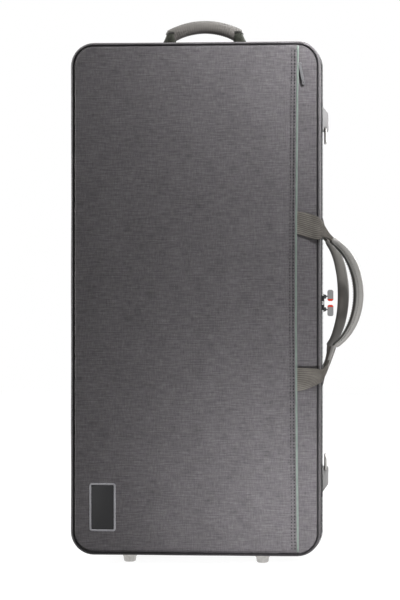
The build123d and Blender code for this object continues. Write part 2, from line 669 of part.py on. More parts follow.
def viola_outline():
    """Room for the instrument's body, from its lower end up."""
    half = BODY_LENGTH
    right = Spline((0, 0), (LOWER_BOUT / 2, 0.24 * half), (WAIST / 2, 0.53 * half),
                   (UPPER_BOUT / 2, 0.80 * half), (0, half),
                   tangents=((1, 0), (-1, 0)))
    left = mirror(right, about=Plane.YZ)
    return make_face(right.edges() + left.edges())


def recess(sketch, depth):
    """Sink a front view sketch into the insert to a depth behind its face."""
    return Pos(0, NEST_FRONT, 0) * Rot(90, 0, 0) * extrude(sketch, amount=depth, both=True)


def recess_box(x0, x1, z0, z1, depth):
    """A round cornered recess between four sides."""
    sketch = Pos((x0 + x1) / 2, (z0 + z1) / 2) * RectangleRounded(x1 - x0, z1 - z0, BOX_CORNER)
    return recess(sketch, depth)


def instrument_nest():
    """The foam insert: instrument bed, neck channel, scroll well and three boxes."""
    block = slab(CASE_WIDTH - 2 * NEST_INSET, CASE_HEIGHT - 2 * NEST_INSET,
                 CORNER_RADIUS - NEST_INSET, NEST_FRONT, BODY_FLOOR - SEAT_GAP)
    bed = recess(Pos(NEST_AXIS, NEST_BOTTOM) * viola_outline(), NEST_CAVITY_DEPTH)
    neck = recess_box(NEST_AXIS - NECK_WIDTH / 2, NEST_AXIS + NECK_WIDTH / 2,
                      NEST_BOTTOM + BODY_LENGTH - 30, SCROLL_TOP - 20, NECK_DEPTH)
    scroll = recess_box(NEST_AXIS - SCROLL_WIDTH / 2, NEST_AXIS + SCROLL_WIDTH / 2,
                        SCROLL_BOTTOM, SCROLL_TOP, SCROLL_DEPTH)
    left_box = recess_box(LEFT_BOX_LEFT, LEFT_BOX_RIGHT, BOX_BOTTOM, BOX_TOP, BOX_DEPTH)
    right_box = recess_box(RIGHT_BOX_LEFT, RIGHT_BOX_RIGHT, BOX_BOTTOM, BOX_TOP, BOX_DEPTH)
    side_box = recess_box(SIDE_BOX_LEFT, RIGHT_BOX_RIGHT, SIDE_BOX_BOTTOM, SIDE_BOX_TOP, BOX_DEPTH)
    return block - bed - neck - scroll - left_box - right_box - side_box


def bed_pillows():
    """Two raised pads in the bed that hold the instrument's back off the floor."""
    floor = NEST_FRONT + NEST_CAVITY_DEPTH - SEAT_GAP / 3
    pieces = []
    for share, width in ((0.20, LOWER_BOUT * 0.56), (0.80, UPPER_BOUT * 0.56)):
        z = NEST_BOTTOM + BODY_LENGTH * share
        pad = slab(width, 52, 14, floor - PILLOW_THICKNESS, floor, NEST_AXIS, z)
        pieces.append(fillet(pad.faces().sort_by(Axis.Y)[0].edges(), PILLOW_THICKNESS * 0.6))
    return pieces


def neck_cradle():
    """The padded block in the neck channel with a round notch for the neck."""
    floor = NEST_FRONT + NECK_DEPTH
    half = NECK_WIDTH / 2 - SEAT_GAP
    block = box_between(NEST_AXIS - half, NEST_AXIS + half, floor - CRADLE_HEIGHT, floor,
                        CRADLE_Z - CRADLE_LENGTH / 2, CRADLE_Z + CRADLE_LENGTH / 2)
    notch = Pos(NEST_AXIS, floor - CRADLE_HEIGHT, CRADLE_Z) * Cylinder(CRADLE_NOTCH, 2 * CRADLE_LENGTH)
    return block - notch


def neck_strap_pivot():
    """Place in plan where the neck strap folds."""
    x = NEST_AXIS - NECK_WIDTH / 2 - NECK_STRAP_OVERLAP
    return x, NEST_FRONT - SEAT_GAP - NECK_STRAP_THICKNESS / 2


def neck_strap():
    """The padded strap that closes over the neck."""
    x, y = neck_strap_pivot()
    end = NEST_AXIS + NECK_WIDTH / 2 + NECK_STRAP_OVERLAP
    half = NECK_STRAP_THICKNESS / 2
    band = box_between(x, end, y - half, y + half, NECK_STRAP_Z - NECK_STRAP_WIDTH / 2,
                       NECK_STRAP_Z + NECK_STRAP_WIDTH / 2)
    band = fillet(band.faces().sort_by(Axis.X)[-1].edges().filter_by(Axis.Y), NECK_STRAP_WIDTH * 0.4)
    return band + Pos(x, y, NECK_STRAP_Z) * Cylinder(half, NECK_STRAP_WIDTH)


def neck_strap_base():
    """The sewn end of the neck strap, beside its fold."""
    x, y = neck_strap_pivot()
    half = NECK_STRAP_THICKNESS / 2
    base = box_between(x - 9, x, y - half, NEST_FRONT, NECK_STRAP_Z - NECK_STRAP_WIDTH / 2,
                       NECK_STRAP_Z + NECK_STRAP_WIDTH / 2)
    return base - Pos(x, y, NECK_STRAP_Z) * Cylinder(half + SEAT_GAP, 2 * NECK_STRAP_WIDTH)


def box_lid():
    """The hinged lid of the left box, with a pull tab on its free edge."""
    front = NEST_FRONT - SEAT_GAP - BOX_LID_THICKNESS
    width = LEFT_BOX_RIGHT - LEFT_BOX_LEFT + 2 * BOX_LID_LAP
    height = BOX_TOP - BOX_BOTTOM + 2 * BOX_LID_LAP
    z = (BOX_TOP + BOX_BOTTOM) / 2
    x = (LEFT_BOX_LEFT + LEFT_BOX_RIGHT) / 2
    panel = slab(width, height, BOX_CORNER + BOX_LID_LAP, front, NEST_FRONT - SEAT_GAP, x, z)
    tab_x = LEFT_BOX_RIGHT + BOX_LID_LAP
    tab = slab(2 * BOX_LID_TAB, 24, 4, front, front + 1.4, tab_x, z + 40)
    return panel + tab


def lid_lining():
    """The padded lining board inside the lid."""
    inset = INNER_INSET + SEAT_GAP
    board = slab(CASE_WIDTH - 2 * inset, CASE_HEIGHT - 2 * inset, CORNER_RADIUS - inset,
                 -LID_FLOOR + SEAT_GAP, LINING_FACE)
    return fillet(board.faces().sort_by(Axis.Y)[-1].edges(), 2.5)


def on_lining(piece, x, z):
    """Seat a piece that is drawn upward on the lining, facing the body."""
    return Pos(x, LINING_FACE, z) * Rot(-90, 0, 0) * piece


def spinner_bases():
    """Bases of the bow spinners, each with a bore for its stalk."""
    ring = Circle(SPINNER_BASE_RADIUS) - Circle(SPINNER_STALK_RADIUS + BORE_GAP)
    base = extrude(ring, amount=SPINNER_BASE_HEIGHT)
    base = chamfer(base.faces().sort_by(Axis.Z)[-1].outer_wire().edges(), 1.0)
    return [on_lining(base, x, SPINNER_Z) for x in (-BOW_SPREAD, BOW_SPREAD)]


def spinner(x):
    """A bow spinner: stalk, collar and cross bar."""
    stalk = Cylinder(SPINNER_STALK_RADIUS, SPINNER_STALK_HEIGHT,
                     align=(Align.CENTER, Align.CENTER, Align.MIN))
    collar = Pos(0, 0, SPINNER_BASE_HEIGHT + BORE_GAP) * Cylinder(
        SPINNER_STALK_RADIUS + 2, 2, align=(Align.CENTER, Align.CENTER, Align.MIN))
    bar = extrude(SlotOverall(SPINNER_BAR_LENGTH, SPINNER_BAR_WIDTH, 90), amount=SPINNER_BAR_HEIGHT)
    bar = fillet(bar.faces().sort_by(Axis.Z)[-1].edges(), 2.0)
    bar = Pos(0, 0, SPINNER_STALK_HEIGHT) * bar
    return on_lining(Pos(0, 0, SEAT_GAP) * (stalk + bar) + collar, x, SPINNER_Z)


def bow_rests():
    """Two notched blocks that hold the bow sticks."""
    block = Box(BOW_REST_WIDTH, BOW_REST_LENGTH, BOW_REST_HEIGHT,
                align=(Align.CENTER, Align.CENTER, Align.MIN))
    block = fillet(block.edges().filter_by(Axis.Z), 3.0)
    notch = Pos(0, 0, BOW_REST_HEIGHT) * Rot(90, 0, 0) * Cylinder(BOW_REST_NOTCH, 2 * BOW_REST_LENGTH)
    return [on_lining(block - notch, x, BOW_REST_Z) for x in (-BOW_SPREAD, BOW_SPREAD)]


def tip_pockets():
    """Two sleeves that hold the bow tips, open towards the feet."""
    block = Box(TIP_POCKET_WIDTH, TIP_POCKET_LENGTH, TIP_POCKET_HEIGHT,
                align=(Align.CENTER, Align.CENTER, Align.MIN))
    block = fillet(block.edges().filter_by(Axis.Z), 5.0)
    wall = (TIP_POCKET_HEIGHT - TIP_SLOT_HEIGHT) / 2
    slot = Pos(0, wall, wall) * Box(TIP_SLOT_WIDTH, TIP_POCKET_LENGTH, TIP_SLOT_HEIGHT,
                                    align=(Align.CENTER, Align.CENTER, Align.MIN))
    return [on_lining(block - slot, x, TIP_POCKET_Z) for x in (-BOW_SPREAD, BOW_SPREAD)]


def model():
    """Every piece by name, drawn about the middle of the case."""
    parts = {
        "body_shell": half_shell(BODY_DEPTH, BODY_FLOOR),
        "body_cover": half_cover(BODY_DEPTH),
        "back_piping": piping(BODY_DEPTH),
        "body_inner_rim": inner_rim(),
        "body_zip_tape": zip_half(),
        "hinge_spine_body": spine_half(),
        "instrument_nest": instrument_nest(),
        "bed_pillows": bed_pillows(),
        "neck_cradle": neck_cradle(),
        "neck_strap_base": neck_strap_base(),
        "rear_feet": feet(REAR_FOOT_DEPTH),
        "ring_tab_upper": ring_tab(UPPER_RING_Z, 1),
        "ring_tab_lower": ring_tab(LOWER_RING_Z, -1),
        "rear_handle_straps": fixed_straps(POCKET_EDGE, BODY_DEPTH),
        "top_handle_anchors": top_anchors(),
        "lid_shell": on_lid(half_shell(LID_DEPTH, LID_FLOOR)),
        "lid_cover": on_lid(half_cover(LID_DEPTH)),
        "front_piping": on_lid(piping(LID_DEPTH)),
        "lid_zip_tape": on_lid(zip_half()),
        "hinge_spine_lid": on_lid(spine_half()),
        "music_pocket": music_pocket(),
        "pocket_placket": placket(),
        "pocket_zip_tape": pocket_zip(),
        "patch_frame": patch_frame(),
        "patch_field": patch_field(),
        "front_feet": feet(-FRONT_FOOT_DEPTH),
        "front_handle_straps": [on_lid(s) for s in fixed_straps(PLACKET_EDGE + SEAT_GAP, LID_DEPTH)],
        "lid_lining": lid_lining(),
        "bow_spinner_bases": spinner_bases(),
        "bow_rests": bow_rests(),
        "bow_tip_pockets": tip_pockets(),
        "bow_spinner_left": spinner(-BOW_SPREAD),
        "bow_spinner_right": spinner(BOW_SPREAD),
        "front_grip": carry_grip(FRONT_PIVOT_Y, FRONT_HANDLE_ANGLE),
        "front_handle_webbing": handle_loops(FRONT_PIVOT_Y, FRONT_HANDLE_ANGLE),
        "rear_grip": carry_grip(REAR_PIVOT_Y, REAR_HANDLE_ANGLE),
        "rear_handle_webbing": handle_loops(REAR_PIVOT_Y, REAR_HANDLE_ANGLE),
        "top_grip": top_grip(),
        "top_handle_webbing": top_webbing(),
        "d_ring_upper": d_ring(UPPER_RING_Z, 1),
        "d_ring_lower": d_ring(LOWER_RING_Z, -1),
        "zip_slider_upper": slider(1),
        "pull_link_upper": pull_link(1),
        "pull_tab_upper": pull_tab(1),
        "pull_accent_upper": pull_accent(1),
        "zip_slider_lower": slider(-1),
        "pull_link_lower": pull_link(-1),
        "pull_tab_lower": pull_tab(-1),
        "pull_accent_lower": pull_accent(-1),
        "pocket_slider": pocket_slider(),
        "pocket_pull": pocket_pull(),
        "neck_strap": neck_strap(),
        "accessory_box_lid": box_lid(),
    }
    return parts


def as_shape(piece):
    """One shape for a node, whether it is one solid or several."""
    return Compound(children=list(piece)) if isinstance(piece, list) else piece


def export_all(parts):
    """Shift every piece to the bottom centre of the whole and write one file for each."""
    shapes = {name: as_shape(piece) for name, piece in parts.items()}
    boxes = [shape.bounding_box() for shape in shapes.values()]
    middle_x = (min(b.min.X for b in boxes) + max(b.max.X for b in boxes)) / 2
    middle_y = (min(b.min.Y for b in boxes) + max(b.max.Y for b in boxes)) / 2
    shift = Pos(-middle_x, -middle_y, -min(b.min.Z for b in boxes))
    os.makedirs("parts", exist_ok=True)
    for name, shape in shapes.items():
        export_step(shift * shape, f"parts/{name}.step")
    return middle_x, middle_y


PARTS = model()
ORIGIN = export_all(PARTS)
print("origin in the case's own frame", round(ORIGIN[0], 3), round(ORIGIN[1], 3))
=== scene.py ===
# %% [markdown]
# # A viola case that stands on its short end
#
# The case is a stiff foam tub and lid under woven nylon, closed by a zip. The CAD
# model already gives every piece its true place and size, so this lesson loads it as
# a fixed frame and dresses it: cloth, webbing, cord, thread, rubber and metal.
#
# All lengths are in metres. X runs from the hinge side to the zip side, Y from the
# lid to the body, and Z up from the soles of the feet.

# %% Load the frame
import json
import math

import bmesh
import bpy
from mathutils import Matrix, Vector, noise


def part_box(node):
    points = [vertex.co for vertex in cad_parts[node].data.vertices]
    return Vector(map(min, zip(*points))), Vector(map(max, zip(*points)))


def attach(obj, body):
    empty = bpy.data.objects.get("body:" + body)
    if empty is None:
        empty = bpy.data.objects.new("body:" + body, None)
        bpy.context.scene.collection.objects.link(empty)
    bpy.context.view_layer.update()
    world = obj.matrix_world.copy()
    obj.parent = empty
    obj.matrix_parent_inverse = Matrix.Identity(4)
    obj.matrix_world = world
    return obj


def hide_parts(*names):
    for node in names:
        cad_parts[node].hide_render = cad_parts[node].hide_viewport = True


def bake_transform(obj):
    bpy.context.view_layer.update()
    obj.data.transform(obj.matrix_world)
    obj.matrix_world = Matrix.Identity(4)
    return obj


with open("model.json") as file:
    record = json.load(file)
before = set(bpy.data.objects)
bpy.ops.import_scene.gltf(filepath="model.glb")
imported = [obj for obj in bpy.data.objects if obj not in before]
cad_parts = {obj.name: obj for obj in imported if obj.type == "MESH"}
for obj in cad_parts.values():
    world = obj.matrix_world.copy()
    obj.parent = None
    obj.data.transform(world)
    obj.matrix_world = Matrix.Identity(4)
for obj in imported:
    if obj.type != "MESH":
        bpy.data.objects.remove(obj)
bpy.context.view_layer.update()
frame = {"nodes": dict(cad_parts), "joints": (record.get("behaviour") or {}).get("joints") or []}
body_lo, body_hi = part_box("body_cover")
lid_lo, lid_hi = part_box("lid_cover")
MM = 0.001
MIDDLE_X = (body_lo.x + body_hi.x) / 2
MIDDLE_Z = (body_lo.z + body_hi.z) / 2
PARTING_Y = (body_lo.y + lid_hi.y) / 2
FRONT_Y, BACK_Y = lid_lo.y, body_hi.y
LEFT_X, RIGHT_X = body_lo.x, body_hi.x
BOTTOM_Z, TOP_Z = body_lo.z, body_hi.z
WIDTH, HEIGHT = RIGHT_X - LEFT_X, TOP_Z - BOTTOM_Z
CORNER = 37 * MM
UP, FORWARD = Vector((0, 0, 1)), Vector((0, -1, 0))
print("case outline", round(WIDTH, 4), "by", round(HEIGHT, 4), "m")

# %% [markdown]
# ## The camera
#
# The photograph was taken from far away with a long lens, a little to the right of
# the case and at its middle height. A long lens keeps upright edges upright.

# %% Camera
CAMERA_REACH, CAMERA_YAW = 3.4, math.radians(4.0)
LENS_MM, SENSOR_MM = 129.6, 36.0
AIM_RIGHT, AIM_HEIGHT = 7.9 * MM, 415.2 * MM

camera_data = bpy.data.cameras.new("camera")
camera_data.lens, camera_data.sensor_width = LENS_MM, SENSOR_MM
camera_data.clip_start, camera_data.clip_end = 0.05, 50.0
camera = bpy.data.objects.new("camera", camera_data)
bpy.context.collection.objects.link(camera)
aim = Vector((MIDDLE_X + AIM_RIGHT, FRONT_Y, AIM_HEIGHT))
back = Vector((math.sin(CAMERA_YAW), -math.cos(CAMERA_YAW), 0))
camera.location = aim + back * CAMERA_REACH
camera.rotation_euler = (-back).to_track_quat("-Z", "Y").to_euler()
bpy.context.scene.camera = camera
print("camera at", [round(v, 3) for v in camera.location])

# %% [markdown]
# ## Sums as nodes
#
# The room and every finish are node trees that work out numbers. A `Wire` is one
# number in a tree. A sum that is written with wires, such as `(u + v) * 0.5`, adds the
# Math nodes that work it out, so a formula reads as it would on paper.


# %% Wires and short ways to write nodes
class Wire:
    """A number in a node tree; sums with it become Math nodes."""

    def __init__(self, tree, socket):
        self.tree, self.socket = tree, socket

    def math(self, operation, *others):
        """One Math node that starts from this number."""
        return calculate(self.tree, operation, self, *others)

    def __add__(self, other):
        return self.math("ADD", other)

    def __sub__(self, other):
        return self.math("SUBTRACT", other)

    def __rsub__(self, other):
        return calculate(self.tree, "SUBTRACT", other, self)

    def __mul__(self, other):
        return self.math("MULTIPLY", other)

    def __truediv__(self, other):
        return self.math("DIVIDE", other)

    def __rtruediv__(self, other):
        return calculate(self.tree, "DIVIDE", other, self)

    def __abs__(self):
        return self.math("ABSOLUTE")


def put(tree, value, socket):
    """Feed a socket with a number, a colour, a wire or another socket."""
    if isinstance(value, Wire):
        value = value.socket
    if isinstance(value, bpy.types.NodeSocket):
        tree.links.new(value, socket)
    elif isinstance(value, tuple) and len(value) < len(socket.default_value):
        socket.default_value = (*value, 1)
    else:
        socket.default_value = value


def put_all(tree, values, sockets):
    """Feed several sockets, in order or by their labels."""
    pairs = [(v, sockets[k]) for k, v in values.items()] if isinstance(values, dict) else zip(values, sockets)
    for value, socket in pairs:
        put(tree, value, socket)


def calculate(tree, operation, *values):
    """One Math node; gives its result."""
    node = tree.nodes.new("ShaderNodeMath")
    node.operation = operation
    put_all(tree, values, node.inputs)
    return Wire(tree, node.outputs[0])


def split(tree, vector):
    """The X, Y and Z of a vector."""
    node = tree.nodes.new("ShaderNodeSeparateXYZ")
    put(tree, vector, node.inputs[0])
    return [Wire(tree, socket) for socket in node.outputs]


def join(tree, values, kind="ShaderNodeCombineXYZ"):
    """Three numbers as a vector or a colour."""
    node = tree.nodes.new(kind)
    put_all(tree, values, node.inputs)
    return node.outputs[0]


def map_range(tree, value, low, high, first, last):
    """Turn a number between low and high into one between first and last."""
    node = tree.nodes.new("ShaderNodeMapRange")
    put_all(tree, {"Value": value, "From Min": low, "From Max": high, "To Min": first, "To Max": last},
            node.inputs)
    return Wire(tree, node.outputs[0])


def blend_colours(tree, share, first, second, mode="MIX"):
    """Two colours in one, by a share; gives the colour."""
    node = tree.nodes.new("ShaderNodeMix")
    node.data_type, node.blend_type = "RGBA", mode
    colour_a, colour_b, colour_out = node.inputs[6], node.inputs[7], node.outputs[2]
    put_all(tree, (share, first, second), (node.inputs["Factor"], colour_a, colour_b))
    return colour_out


def speckle(tree, place, size, detail=2.0):
    """Noise of a given grain size in metres."""
    node = tree.nodes.new("ShaderNodeTexNoise")
    put_all(tree, {"Vector": place, "Scale": 1.0 / size, "Detail": detail, "Roughness": 0.5}, node.inputs)
    return Wire(tree, node.outputs["Fac"])


def cleared_tree(owner):
    """The empty node tree of a material or world."""
    owner.use_nodes = True
    owner.node_tree.nodes.clear()
    return owner.node_tree


# %% [markdown]
# ## The light
#
# The light is that of a product photograph: a white room, and soft lamps above, behind
# and on both sides. Two small lamps stand close to the front, above and below, so the
# front is darkest half way up its left side, as in the photograph. The camera and
# mirrors don't see these two. The room lights the case weakly, but it is white to the
# camera, to mirrors and through glass.

# %% Lamps
CENTRE = (MIDDLE_X, 0.0, MIDDLE_Z)
COOL = (0.97, 0.96, 1.0)


def area_lamp(name, place, towards, size, watts, colour=(1, 1, 1)):
    """A soft lamp that looks at a point."""
    data = bpy.data.lights.new(name, "AREA")
    data.shape, data.size, data.size_y = "RECTANGLE", size[0], size[1]
    data.energy, data.color = watts, colour
    lamp = bpy.data.objects.new(name, data)
    bpy.context.collection.objects.link(lamp)
    lamp.location = place
    lamp.rotation_euler = (Vector(towards) - Vector(place)).to_track_quat("-Z", "Y").to_euler()
    return lamp


area_lamp("lamp_right", (2.2, -0.9, 1.2), CENTRE, (1.4, 1.8), 5)
area_lamp("lamp_top", (0.3, 0.3, 2.4), CENTRE, (1.6, 1.2), 16)
area_lamp("lamp_back", (1.6, 2.2, 1.4), CENTRE, (1.6, 1.6), 90)
area_lamp("lamp_hinge", (-2.2, 1.4, 1.2), CENTRE, (1.6, 1.6), 36)
area_lamp("lamp_rim", (-2.0, -0.08, 1.0), (MIDDLE_X, -0.08, MIDDLE_Z), (0.3, 1.2), 45)
for lamp in (
        area_lamp("lamp_high", (0.40, -0.46, 1.10), (0.40, 0, 1.10), (0.25, 0.25), 14.5, COOL),
        area_lamp("lamp_low", (0.17, -0.41, 0.09), (0.17, 0, 0.07), (0.2, 0.14), 2.2, COOL)):
    lamp.visible_camera = lamp.visible_glossy = False
bpy.context.scene.view_settings.view_transform = "Standard"


# %% White room and floor
def background_ray(tree):
    """1 for a ray that shows the background: to the camera, off a mirror, through glass."""
    rays = tree.nodes.new("ShaderNodeLightPath").outputs
    seen = Wire(tree, rays["Is Camera Ray"]).math("MAXIMUM", rays["Is Glossy Ray"])
    return seen.math("MAXIMUM", rays["Is Transmission Ray"])


def white_room():
    """A world that lights softly, more from above, and is white where it shows."""
    world = bpy.data.worlds.new("white_room")
    bpy.context.scene.world = world
    tree = cleared_tree(world)
    soft, white = (tree.nodes.new("ShaderNodeBackground") for _ in range(2))
    height = split(tree, tree.nodes.new("ShaderNodeTexCoord").outputs["Generated"])[2]
    put_all(tree, ((1, 0.98, 0.95), map_range(tree, height, -0.3, 0.8, 0.01, 0.08)), soft.inputs)
    put_all(tree, ((1, 1, 1), 1.0), white.inputs)
    mix = tree.nodes.new("ShaderNodeMixShader")
    put_all(tree, (background_ray(tree), soft.outputs[0], white.outputs[0]), mix.inputs)
    put(tree, mix.outputs[0], tree.nodes.new("ShaderNodeOutputWorld").inputs["Surface"])


def pale_floor():
    """A floor that takes the shadow and blends into the white room."""
    bm = bmesh.new()
    bmesh.ops.create_grid(bm, x_segments=1, y_segments=1, size=6.0)
    mesh = bpy.data.meshes.new("floor")
    bm.to_mesh(mesh)
    bm.free()
    floor = bpy.data.objects.new("floor", mesh)
    bpy.context.collection.objects.link(floor)
    floor.location = (MIDDLE_X, 0, -0.4 * MM)
    material = bpy.data.materials.new("pale_floor")
    tree = cleared_tree(material)
    away = tree.nodes.new("ShaderNodeVectorMath")
    away.operation = "LENGTH"
    put(tree, tree.nodes.new("ShaderNodeTexCoord").outputs["Object"], away.inputs[0])
    matt, glow, both = (tree.nodes.new(f"ShaderNode{kind}")
                        for kind in ("BsdfDiffuse", "Emission", "AddShader"))
    put(tree, (0.14, 0.14, 0.14), matt.inputs["Color"])
    # The glow is a little weaker by the case, so its shadow shows there.
    near = map_range(tree, away.outputs["Value"], 0.3, 1.6, 0.955, 1.0)
    put_all(tree, {"Color": (1, 1, 1), "Strength": background_ray(tree) * near}, glow.inputs)
    put_all(tree, (matt.outputs[0], glow.outputs[0]), both.inputs)
    put(tree, both.outputs[0], tree.nodes.new("ShaderNodeOutputMaterial").inputs["Surface"])
    mesh.materials.append(material)


white_room()
pale_floor()

# %% [markdown]
# ## Finishes
#
# Every finish on the case is a small pattern repeated over a surface: threads that
# cross, ribs along a tape, the nap of plush, the grain of soft vinyl. Each pattern is
# a node group with named sockets, made once and placed in a material with its own
# values. A group gives out colour, height and roughness; the shader stays outside.

# %% Helpers for the groups
OUTPUTS = (("Color", "NodeSocketColor"), ("Height", "NodeSocketFloat"), ("Roughness", "NodeSocketFloat"))


def node_group(name, inputs):
    """An empty group with named sockets; gives its tree, inputs and outputs."""
    tree = bpy.data.node_groups.new(name, "ShaderNodeTree")
    for label, value in inputs.items():
        kind = "NodeSocketColor" if isinstance(value, tuple) else "NodeSocketFloat"
        tree.interface.new_socket(label, in_out="INPUT", socket_type=kind).default_value = value
    for label, kind in OUTPUTS:
        tree.interface.new_socket(label, in_out="OUTPUT", socket_type=kind)
    sockets = tree.nodes.new("NodeGroupInput").outputs
    given = {label: Wire(tree, sockets[label]) for label in inputs}
    return tree, given, tree.nodes.new("NodeGroupOutput").inputs


def choose(share, first, second):
    """The first number where the share is 0 and the second where it is 1."""
    return first * (1.0 - share) + second * share


def hump(value):
    """A row of round humps, one for each whole step of the value."""
    return abs((value * math.pi).math("SINE"))


def odd(value):
    """1 where the whole part of the value is odd."""
    return abs(value.math("MODULO", 2.0))


# %% Woven cloth
def woven_group():
    """Threads that cross over and under, read from the object's own axes."""
    tree, given, out = node_group("woven_threads", {
        "Thread": (0.1, 0.1, 0.1, 1), "Gap": (0.03, 0.03, 0.03, 1), "Pitch": 0.0014, "Mottle": 0.25,
        "Slub": 0.0})
    coords = tree.nodes.new("ShaderNodeTexCoord").outputs
    x, y, z = split(tree, coords["Object"])
    facing_x, _, facing_z = split(tree, coords["Normal"])
    # u and v lie in the surface, whichever way it faces.
    u = choose(abs(facing_x).math("GREATER_THAN", 0.7), x, y) / given["Pitch"]
    v = choose(abs(facing_z).math("GREATER_THAN", 0.7), z, y) / given["Pitch"]
    height = choose(odd(u.math("FLOOR") + v.math("FLOOR")), hump(u), hump(v))
    soft, slub, cast = (speckle(tree, coords["Object"], size, detail)
                        for size, detail in ((0.045, 3.0), (0.004, 2.0), (0.012, 2.0)))
    # Threads of uneven thickness show as short streaks along the warp and the weft.
    streaks = [speckle(tree, join(tree, (u * across, v * along, seed)), 1.0, 1.0) - 0.5
               for across, along, seed in ((0.8, 0.10, 3.0), (0.07, 0.62, 9.0))]
    ribs = (v * (0.39 * math.tau) + soft * 9.0).math("SINE") * 0.035
    uneven = streaks[0] + streaks[1] * 1.4 + ribs
    cloth = blend_colours(tree, (height + slub * 0.5) * 0.7, given["Gap"], given["Thread"])
    tone = (soft - 0.5) * given["Mottle"] + 1.0 + uneven * given["Slub"]
    warmth = (cast - 0.5) * (given["Slub"] * 0.06)
    tint = join(tree, (tone, tone + warmth, tone - warmth), "ShaderNodeCombineColor")
    put_all(tree, (blend_colours(tree, 1.0, cloth, tint, "MULTIPLY"), height, 0.82 - height * 0.14), out)
    return tree


# %% Ribbed tape, read from the piece's own UV map
def tape_group():
    """Webbing: ribs along the length, each crossed by slanting threads."""
    tree, given, out = node_group("ribbed_tape", {
        "Thread": (0.15, 0.14, 0.13, 1), "Gap": (0.04, 0.04, 0.035, 1), "Rib": 0.0022, "Mottle": 0.3})
    uv = tree.nodes.new("ShaderNodeUVMap")
    uv.uv_map = "along"
    x, y, _ = split(tree, uv.outputs[0])
    u, v = x / given["Rib"], y / given["Rib"]
    lean = (odd(u.math("FLOOR")) - 0.5) * 4.0
    height = hump(u) * 0.65 + hump(v * 2.0 + u * lean) * 0.35
    cloth = blend_colours(tree, height, given["Gap"], given["Thread"])
    tone = (speckle(tree, uv.outputs[0], 0.02, 3.0) - 0.5) * given["Mottle"] + 1.0
    tint = join(tree, (tone, tone, tone), "ShaderNodeCombineColor")
    put_all(tree, (blend_colours(tree, 1.0, cloth, tint, "MULTIPLY"), height, 0.8 - height * 0.2), out)
    return tree


# %% Grain: plush, vinyl, rubber and metal
def grain_group():
    """A fine grain with slow changes of tone, for anything that isn't woven."""
    tree, given, out = node_group("fine_grain", {
        "Base": (0.2, 0.2, 0.2, 1), "Deep": (0.1, 0.1, 0.1, 1), "Grain": 0.001, "Contrast": 0.4,
        "Rough": 0.5, "Rough change": 0.1})
    place = tree.nodes.new("ShaderNodeTexCoord").outputs["Object"]
    fine, slow = speckle(tree, place, given["Grain"]), speckle(tree, place, 0.03, 3.0)
    share = (fine + slow - 1.0) * given["Contrast"] + 0.5
    rough = given["Rough"] + (slow - 0.5) * given["Rough change"]
    put_all(tree, (blend_colours(tree, share, given["Deep"], given["Base"]), fine, rough), out)
    return tree


WOVEN, TAPE, GRAIN = woven_group(), tape_group(), grain_group()
print("node groups:", [g.name for g in bpy.data.node_groups])


# %% Materials from the groups
def make_material(name, group, values, bump, shader_values):
    """A material whose colour, roughness and bump come from one of the groups."""
    material = bpy.data.materials.new(name)
    material.use_nodes = True
    tree = material.node_tree
    shader = tree.nodes["Principled BSDF"].inputs
    pattern = tree.nodes.new("ShaderNodeGroup")
    pattern.node_tree = group
    put_all(tree, values, pattern.inputs)
    relief = tree.nodes.new("ShaderNodeBump")
    put_all(tree, {"Distance": bump, "Strength": 0.7, "Height": pattern.outputs["Height"]}, relief.inputs)
    put_all(tree, {"Base Color": pattern.outputs["Color"], "Roughness": pattern.outputs["Roughness"],
                   "Normal": relief.outputs["Normal"]}, shader)
    put_all(tree, {label.replace("_", " "): value for label, value in shader_values.items()}, shader)
    return material


def cloth(name, group, thread, gap, size, mottle=0.3, bump=0.0002, slub=0.0, **shader_values):
    """Woven cloth or tape: the colours of thread and gap, and the size of a thread or rib."""
    more = {"Pitch": size, "Slub": slub} if group == WOVEN else {"Rib": size}
    return make_material(name, group, {"Thread": thread, "Gap": gap, "Mottle": mottle, **more}, bump,
                         shader_values)


def grained(name, base, deep, grain, contrast, rough, change, bump, **shader_values):
    """A grained finish: two tones, the size of the grain, and the roughness with its change."""
    return make_material(name, GRAIN, {"Base": base, "Deep": deep, "Grain": grain, "Contrast": contrast,
                                       "Rough": rough, "Rough change": change}, bump, shader_values)


nylon = cloth("woven_nylon", WOVEN, (0.152, 0.144, 0.147), (0.050, 0.048, 0.049), 0.0013, 0.30, 0.00025,
              slub=0.62, Specular_IOR_Level=0.12)
webbing = cloth("grey_webbing", TAPE, (0.165, 0.154, 0.135), (0.028, 0.026, 0.022), 0.0031, 1.1, 0.0005,
                Specular_IOR_Level=0.15)
dark_webbing = cloth("olive_webbing", TAPE, (0.06, 0.063, 0.05), (0.012, 0.013, 0.011), 0.003, 1.2, 0.0005,
                     Specular_IOR_Level=0.15)
# The ring tabs are dark webbing; their pale colour here is a painted highlight.
painted_highlight_webbing = cloth("tab_webbing_painted_highlight", TAPE, (0.50, 0.50, 0.48), (0.26, 0.26, 0.25), 0.002, bump=0.0003)
cord_cloth = cloth("black_piping", TAPE, (0.022, 0.021, 0.022), (0.007, 0.007, 0.007), 0.0014,
                   bump=0.00015, Specular_IOR_Level=0.2)
zip_cloth = cloth("zip_tape", TAPE, (0.035, 0.035, 0.036), (0.012, 0.012, 0.012), 0.0011)
placket_edge = cloth("placket_edge", TAPE, (0.205, 0.25, 0.215), (0.09, 0.115, 0.10), 0.0031, 0.5)
patch_cloth = cloth("patch_black", WOVEN, (0.018, 0.018, 0.019), (0.006, 0.006, 0.006), 0.0011)
patch_thread = cloth("patch_border", TAPE, (0.42, 0.42, 0.43), (0.12, 0.12, 0.13), 0.0009, bump=0.0003)
plush = grained("grey_plush", (0.14, 0.15, 0.16), (0.055, 0.058, 0.062), 0.0011, 0.9, 0.92, 0.05, 0.0006,
                Sheen_Weight=0.6, Sheen_Roughness=0.4)
